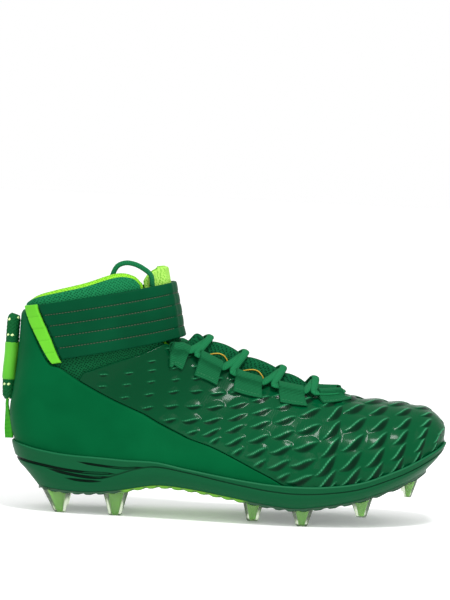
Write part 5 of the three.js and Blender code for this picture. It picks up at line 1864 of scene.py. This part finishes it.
def stud_form(mesh, row, side, scale, tip_scale, foot):
    """One stud: a rounded block that narrows from its root to its tip"""
    data = dict(zip(STUD_COLUMNS, row))
    x = data["along"] * SHOE_LENGTH
    y = side * data["across"] * sole_half_width(x, side)
    angle = np.linspace(0, 2 * PI, STUD_SIDES, endpoint=False)
    u, v = (np.sign(wave) * np.abs(wave) ** STUD_SQUARENESS for wave in (np.cos(angle), np.sin(angle)))
    rings = []
    for share in np.linspace(0, 1, STUD_STEPS):
        flare = (1 - share) ** STUD_FLARE
        long = (data["tip_long"] + (data["root_long"] - data["tip_long"]) * flare) / 2
        wide = (data["tip_wide"] + (data["root_wide"] - data["tip_wide"]) * flare) / 2
        size = scale + (tip_scale - scale) * share
        close = 1 if share < STUD_TIP_FROM else STUD_TIP_SHARE
        px = x + u * long * size * close - STUD_LEAN.get(data["name"], 0) * (1 - share)
        py = y + v * wide * size * close
        root = plate_bottom(px) + STUD_SINK
        tip = data["lift"] + foot
        rings.append(np.stack([px, py, root + (tip - root) * share], axis=-1))
    points = np.stack(rings)
    add_tube(mesh, points, points.mean(axis=1, keepdims=True))
    cap(mesh, points[-1], flip=True)


def studs():
    for row in STUD_ROWS:
        for side, word in ((-1, "lateral"), (1, "medial")):
            for part, finish, root, tip, foot in STUD_PARTS:
                mesh = Mesh()
                stud_form(mesh, row, side, root, tip, foot)
                settle(mesh, f"stud_{part}_{row[0]}_{word}", [finish], "studs")


def ball_dome():
    x = BALL_DOME["along"] * SHOE_LENGTH
    share = np.linspace(0, 1, 14)[:, None] * PI / 2
    angle = np.linspace(0, 2 * PI, 36, endpoint=False)[None]
    radius = BALL_DOME["radius"] * np.cos(share)
    points = np.stack(np.broadcast_arrays(
        x + radius * np.cos(angle),
        radius * np.sin(angle),
        plate_bottom(x) + PLATE_THICKNESS / 2 - BALL_DOME["drop"] * np.sin(share),
    ), axis=-1)
    mesh = Mesh()
    add_tube(mesh, points, np.array([x, 0, plate_bottom(x) + 5 * MM]))
    settle(mesh, "ball_dome", [clear_shell], "studs")


plate()
studs()
ball_dome()


# The insole

INSOLE_ROUND = 0.8 * MM
INSOLE_CROWN = 0.3 * MM


def insole():
    low = ring(feather_line, INSOLE_INSET, lambda x: bed(x) + CLEARANCE)
    high = ring(feather_line, INSOLE_INSET, lambda x: bed(x) + CLEARANCE + INSOLE_THICKNESS)
    inside = INSOLE_INSET - INSOLE_ROUND
    round_edge = ring(feather_line, inside, lambda x: bed(x) + CLEARANCE + INSOLE_THICKNESS + INSOLE_CROWN)
    mesh = Mesh()
    ring_faces(mesh, [round_edge, high, low], [np.ones(RING_SIZE)] * 3)
    fill_ring(mesh, round_edge, True, 1)
    fill_ring(mesh, low, False, 1)
    settle(mesh, "insole_board", [lining], "lining", "insole")


insole()


# The rope handle at the heel, its sleeve and the ribbon under it

HEEL_SKIN = QUARTER_GAP + QUARTER_THICKNESS + CLEARANCE
ROPE_LOOK = 9.2 * MM
ROPE_ROWS = [
    (1.34, 0.5),
    (1.5, 0.62),
    (1.95, 0.64),
    (2.6, 0.6),
    (3.3, 0.58),
    (3.95, 0.4),
    (4.5, 0.16),
]
ROPE_POINTS = 400
SLEEVE_FROM = 0.33
SLEEVE_TO = 0.77
SLEEVE_OVER = 0.4 * MM
SLEEVE_ROUND = 0.5 * MM
SLEEVE_WAIST = 0.25 * MM
SLEEVE_LENGTH = 26 * MM
SLEEVE_GIRTH = 28 * MM
BRAID_TURNS = 4
BRAID_PITCH = 5.2 * MM
BRAID_SWELL = 0.12
ROPE_END_FADE = 3 * MM
ROPE_END_SWELL = 0.28
PALE_CYCLE = 13
PALE_STRANDS = (4, 9)


def rope_line(count, first=0.0, last=1.0):
    points = np.array([place(at, PI, HEEL_SKIN + out * ROPE_DIAMETER) for at, out in ROPE_ROWS])
    fine = through(points, ROPE_POINTS)
    length = np.linspace(first, last, count) * (ROPE_POINTS - 1)
    return interpolated(length, np.arange(ROPE_POINTS), fine)


def round_tube(line, radius, sides):
    """Rings of points round a line in the middle plane, with a radius for each point"""
    run = unit(np.gradient(line, axis=0))
    across = np.broadcast_to(np.array([0.0, 1, 0]), line.shape)
    out = np.cross(across, run)
    angle = np.linspace(0, 2 * PI, sides, endpoint=False)
    return (line[:, None] + across[:, None] * (radius * np.cos(angle))[..., None]
            + out[:, None] * (radius * np.sin(angle))[..., None])


def heel_rope():
    line = rope_line(190)
    sides = 88
    angle = np.linspace(0, 2 * PI, sides, endpoint=False)[None]
    length = steps_along(line[:, None], 0)
    first = (angle / (2 * PI) * BRAID_TURNS + length / BRAID_PITCH) * 2
    second = (angle / (2 * PI) * BRAID_TURNS - length / BRAID_PITCH) * 2
    over = (np.floor(first) + np.floor(second)) % 2
    strand = np.where(over > 0.5, np.sin(PI * (first % 1)), np.sin(PI * (second % 1)))
    ends = smooth(0, ROPE_END_FADE, length) * smooth(0, ROPE_END_FADE, length[-1:] - length)
    swell = 1 - BRAID_SWELL + BRAID_SWELL * np.abs(strand)
    radius = ROPE_LOOK / 2 * swell * (1 - ROPE_END_SWELL + ROPE_END_SWELL * ends)
    code = (np.floor(first) * 3 + np.floor(second) * 5) % PALE_CYCLE
    pale = np.where(np.isin(code, PALE_STRANDS) & (over > 0.5), 1.2, 0) * np.clip(np.abs(strand) * 2, 0, 1)
    mesh = Mesh()
    points = round_tube(line, radius, sides)
    add_tube(mesh, points, points.mean(axis=1, keepdims=True), mark=pale)
    cap(mesh, points[0])
    cap(mesh, points[-1])
    settle(mesh, "braided_handle", [rope_braid], "rope", "heel_rope")


def rope_sleeve():
    rows = 60
    sides = 56
    line = rope_line(rows, SLEEVE_FROM, SLEEVE_TO)
    share = np.linspace(0, 1, rows)[:, None]
    ends = np.minimum(smooth(0, 0.04, share), smooth(0, 0.04, 1 - share))
    outer = ROPE_LOOK / 2 + SLEEVE_OVER - SLEEVE_ROUND * (1 - ends) - SLEEVE_WAIST * np.sin(PI * share)
    mesh = Mesh()
    points = round_tube(line, np.broadcast_to(outer, (rows, sides)), sides)
    uv = paired(share * SLEEVE_LENGTH, np.linspace(0, SLEEVE_GIRTH, sides)[None])
    add_tube(mesh, points, line[:, None], uv=uv)
    inner_ends = round_tube(line, np.full((rows, sides), ROPE_LOOK / 2 * 0.9), sides)
    for k in (0, -1):
        inner = inner_ends[k]
        mesh.add(np.stack([points[k], inner]), grid_faces(2, sides, closed=True), 0)
    settle(mesh, "handle_sleeve", [sleeve_film], "tape", "rope_sleeve")


RIBBON_ROWS = [
    (4.3, 1.6),
    (4.5, 1.9),
    (4.72, 1.6),
    (4.9, 1.1),
    (5.15, 1),
    (5.4, 1.2),
    (5.68, 1.9),
    (5.95, 3),
]
RIBBON_TWIST = 0.8
RIBBON_CUP = 0.5 * MM
RIBBON_SHARE = 0.5
RIBBON_FLARE = 0.18
RIBBON_TWIST_START = 0.25


def heel_ribbon():
    rows = 90
    columns = 21
    line = through([place(at, PI, HEEL_SKIN + out * MM) for at, out in RIBBON_ROWS], rows)
    run = unit(np.gradient(line, axis=0))
    out = np.stack([run[:, 2], np.zeros(len(line)), -run[:, 0]], axis=-1)
    out *= np.where(out[:, :1] > 0, -1, 1)
    share = np.linspace(0, 1, len(line))
    turned = RIBBON_TWIST_START + (1 - RIBBON_TWIST_START) * smooth(0.1, 0.8, share)
    twist = RIBBON_TWIST * turned[:, None]
    sideways = np.array([0.0, 1, 0])
    across = sideways * np.cos(twist) + out * np.sin(twist)
    facing_out = out * np.cos(twist) - sideways * np.sin(twist)
    wide = RIBBON_WIDTH * (RIBBON_SHARE + RIBBON_FLARE * smooth(0.3, 1, share))[:, None, None]
    mesh = Mesh()
    over = np.linspace(-1, 1, columns)
    cup = RIBBON_CUP * over[None] ** 2
    uv = paired(steps_along(line[:, None], 0), (over * RIBBON_WIDTH / 2)[None])
    sides = []
    for way in (1, -1):
        height = cup + way / 2 * RIBBON_THICKNESS * rounded(1 - np.abs(over), 0.12)
        points = (line[:, None] + across[:, None] * over[None, :, None] * wide / 2
                  + facing_out[:, None] * height[..., None])
        towards = way * np.broadcast_to(facing_out[:, None], points.shape)
        mesh.add(points, facing(points, grid_faces(rows, columns), towards), 0, uv)
        sides.append(points)
    for k in (0, -1):
        mesh.add(np.stack([sides[0][k], sides[1][k]]), grid_faces(2, columns), 0)
    settle(mesh, "heel_ribbon_band", [ribbon_web], "tape", "heel_ribbon")


heel_rope()
rope_sleeve()
heel_ribbon()


# Floor and lights, each light with its place, the point that it faces, its size and its power

FLOOR_REACH = 12
LIGHTS = [
    ("top_softbox", (0.2, -0.55, 1.15), (0.05, 0, 0.05), (0.26, 0.18), 10),
    ("front_softbox", (-0.5, -1.5, 0.9), (0, 0, 0.08), (0.8, 0.8), 4),
]


def floor():
    mesh = bpy.data.meshes.new("floor")
    corners = [(x * FLOOR_REACH, y * FLOOR_REACH, 0) for x, y in ((-1, -1), (1, -1), (1, 1), (-1, 1))]
    mesh.from_pydata(corners, [], [(0, 1, 2, 3)])
    finish = Finish("floor_paint", (0.9, 0.9, 0.9, 1), 0.8, Specular_IOR_Level=0.1, Emission_Strength=0.2)
    finish.shader.inputs["Emission Color"].default_value = (1, 1, 1, 1)
    grain = finish.noise(finish.space(0.4), 2)
    finish.color(grain, (0.88, 0.88, 0.88, 1), (0.92, 0.92, 0.92, 1))
    mesh.materials.append(finish.material)
    ground = bpy.data.objects.new("floor", mesh)
    bpy.context.scene.collection.objects.link(ground)


def area_light(name, spot, aim, size, power):
    data = bpy.data.lights.new(name, "AREA")
    data.shape = "RECTANGLE"
    data.size = size[0]
    data.size_y = size[1]
    data.energy = power
    light = bpy.data.objects.new(name, data)
    light.location = spot
    light.rotation_euler = (Vector(aim) - Vector(spot)).to_track_quat("-Z", "Y").to_euler()
    bpy.context.scene.collection.objects.link(light)


def studio():
    world = bpy.data.worlds.new("studio")
    world.use_nodes = True
    background = world.node_tree.nodes["Background"]
    background.inputs["Color"].default_value = (1, 1, 1, 1)
    background.inputs["Strength"].default_value = 1.0
    bpy.context.scene.world = world
    bpy.context.scene.view_settings.view_transform = "Standard"
    for light in LIGHTS:
        area_light(*light)


floor()
studio()
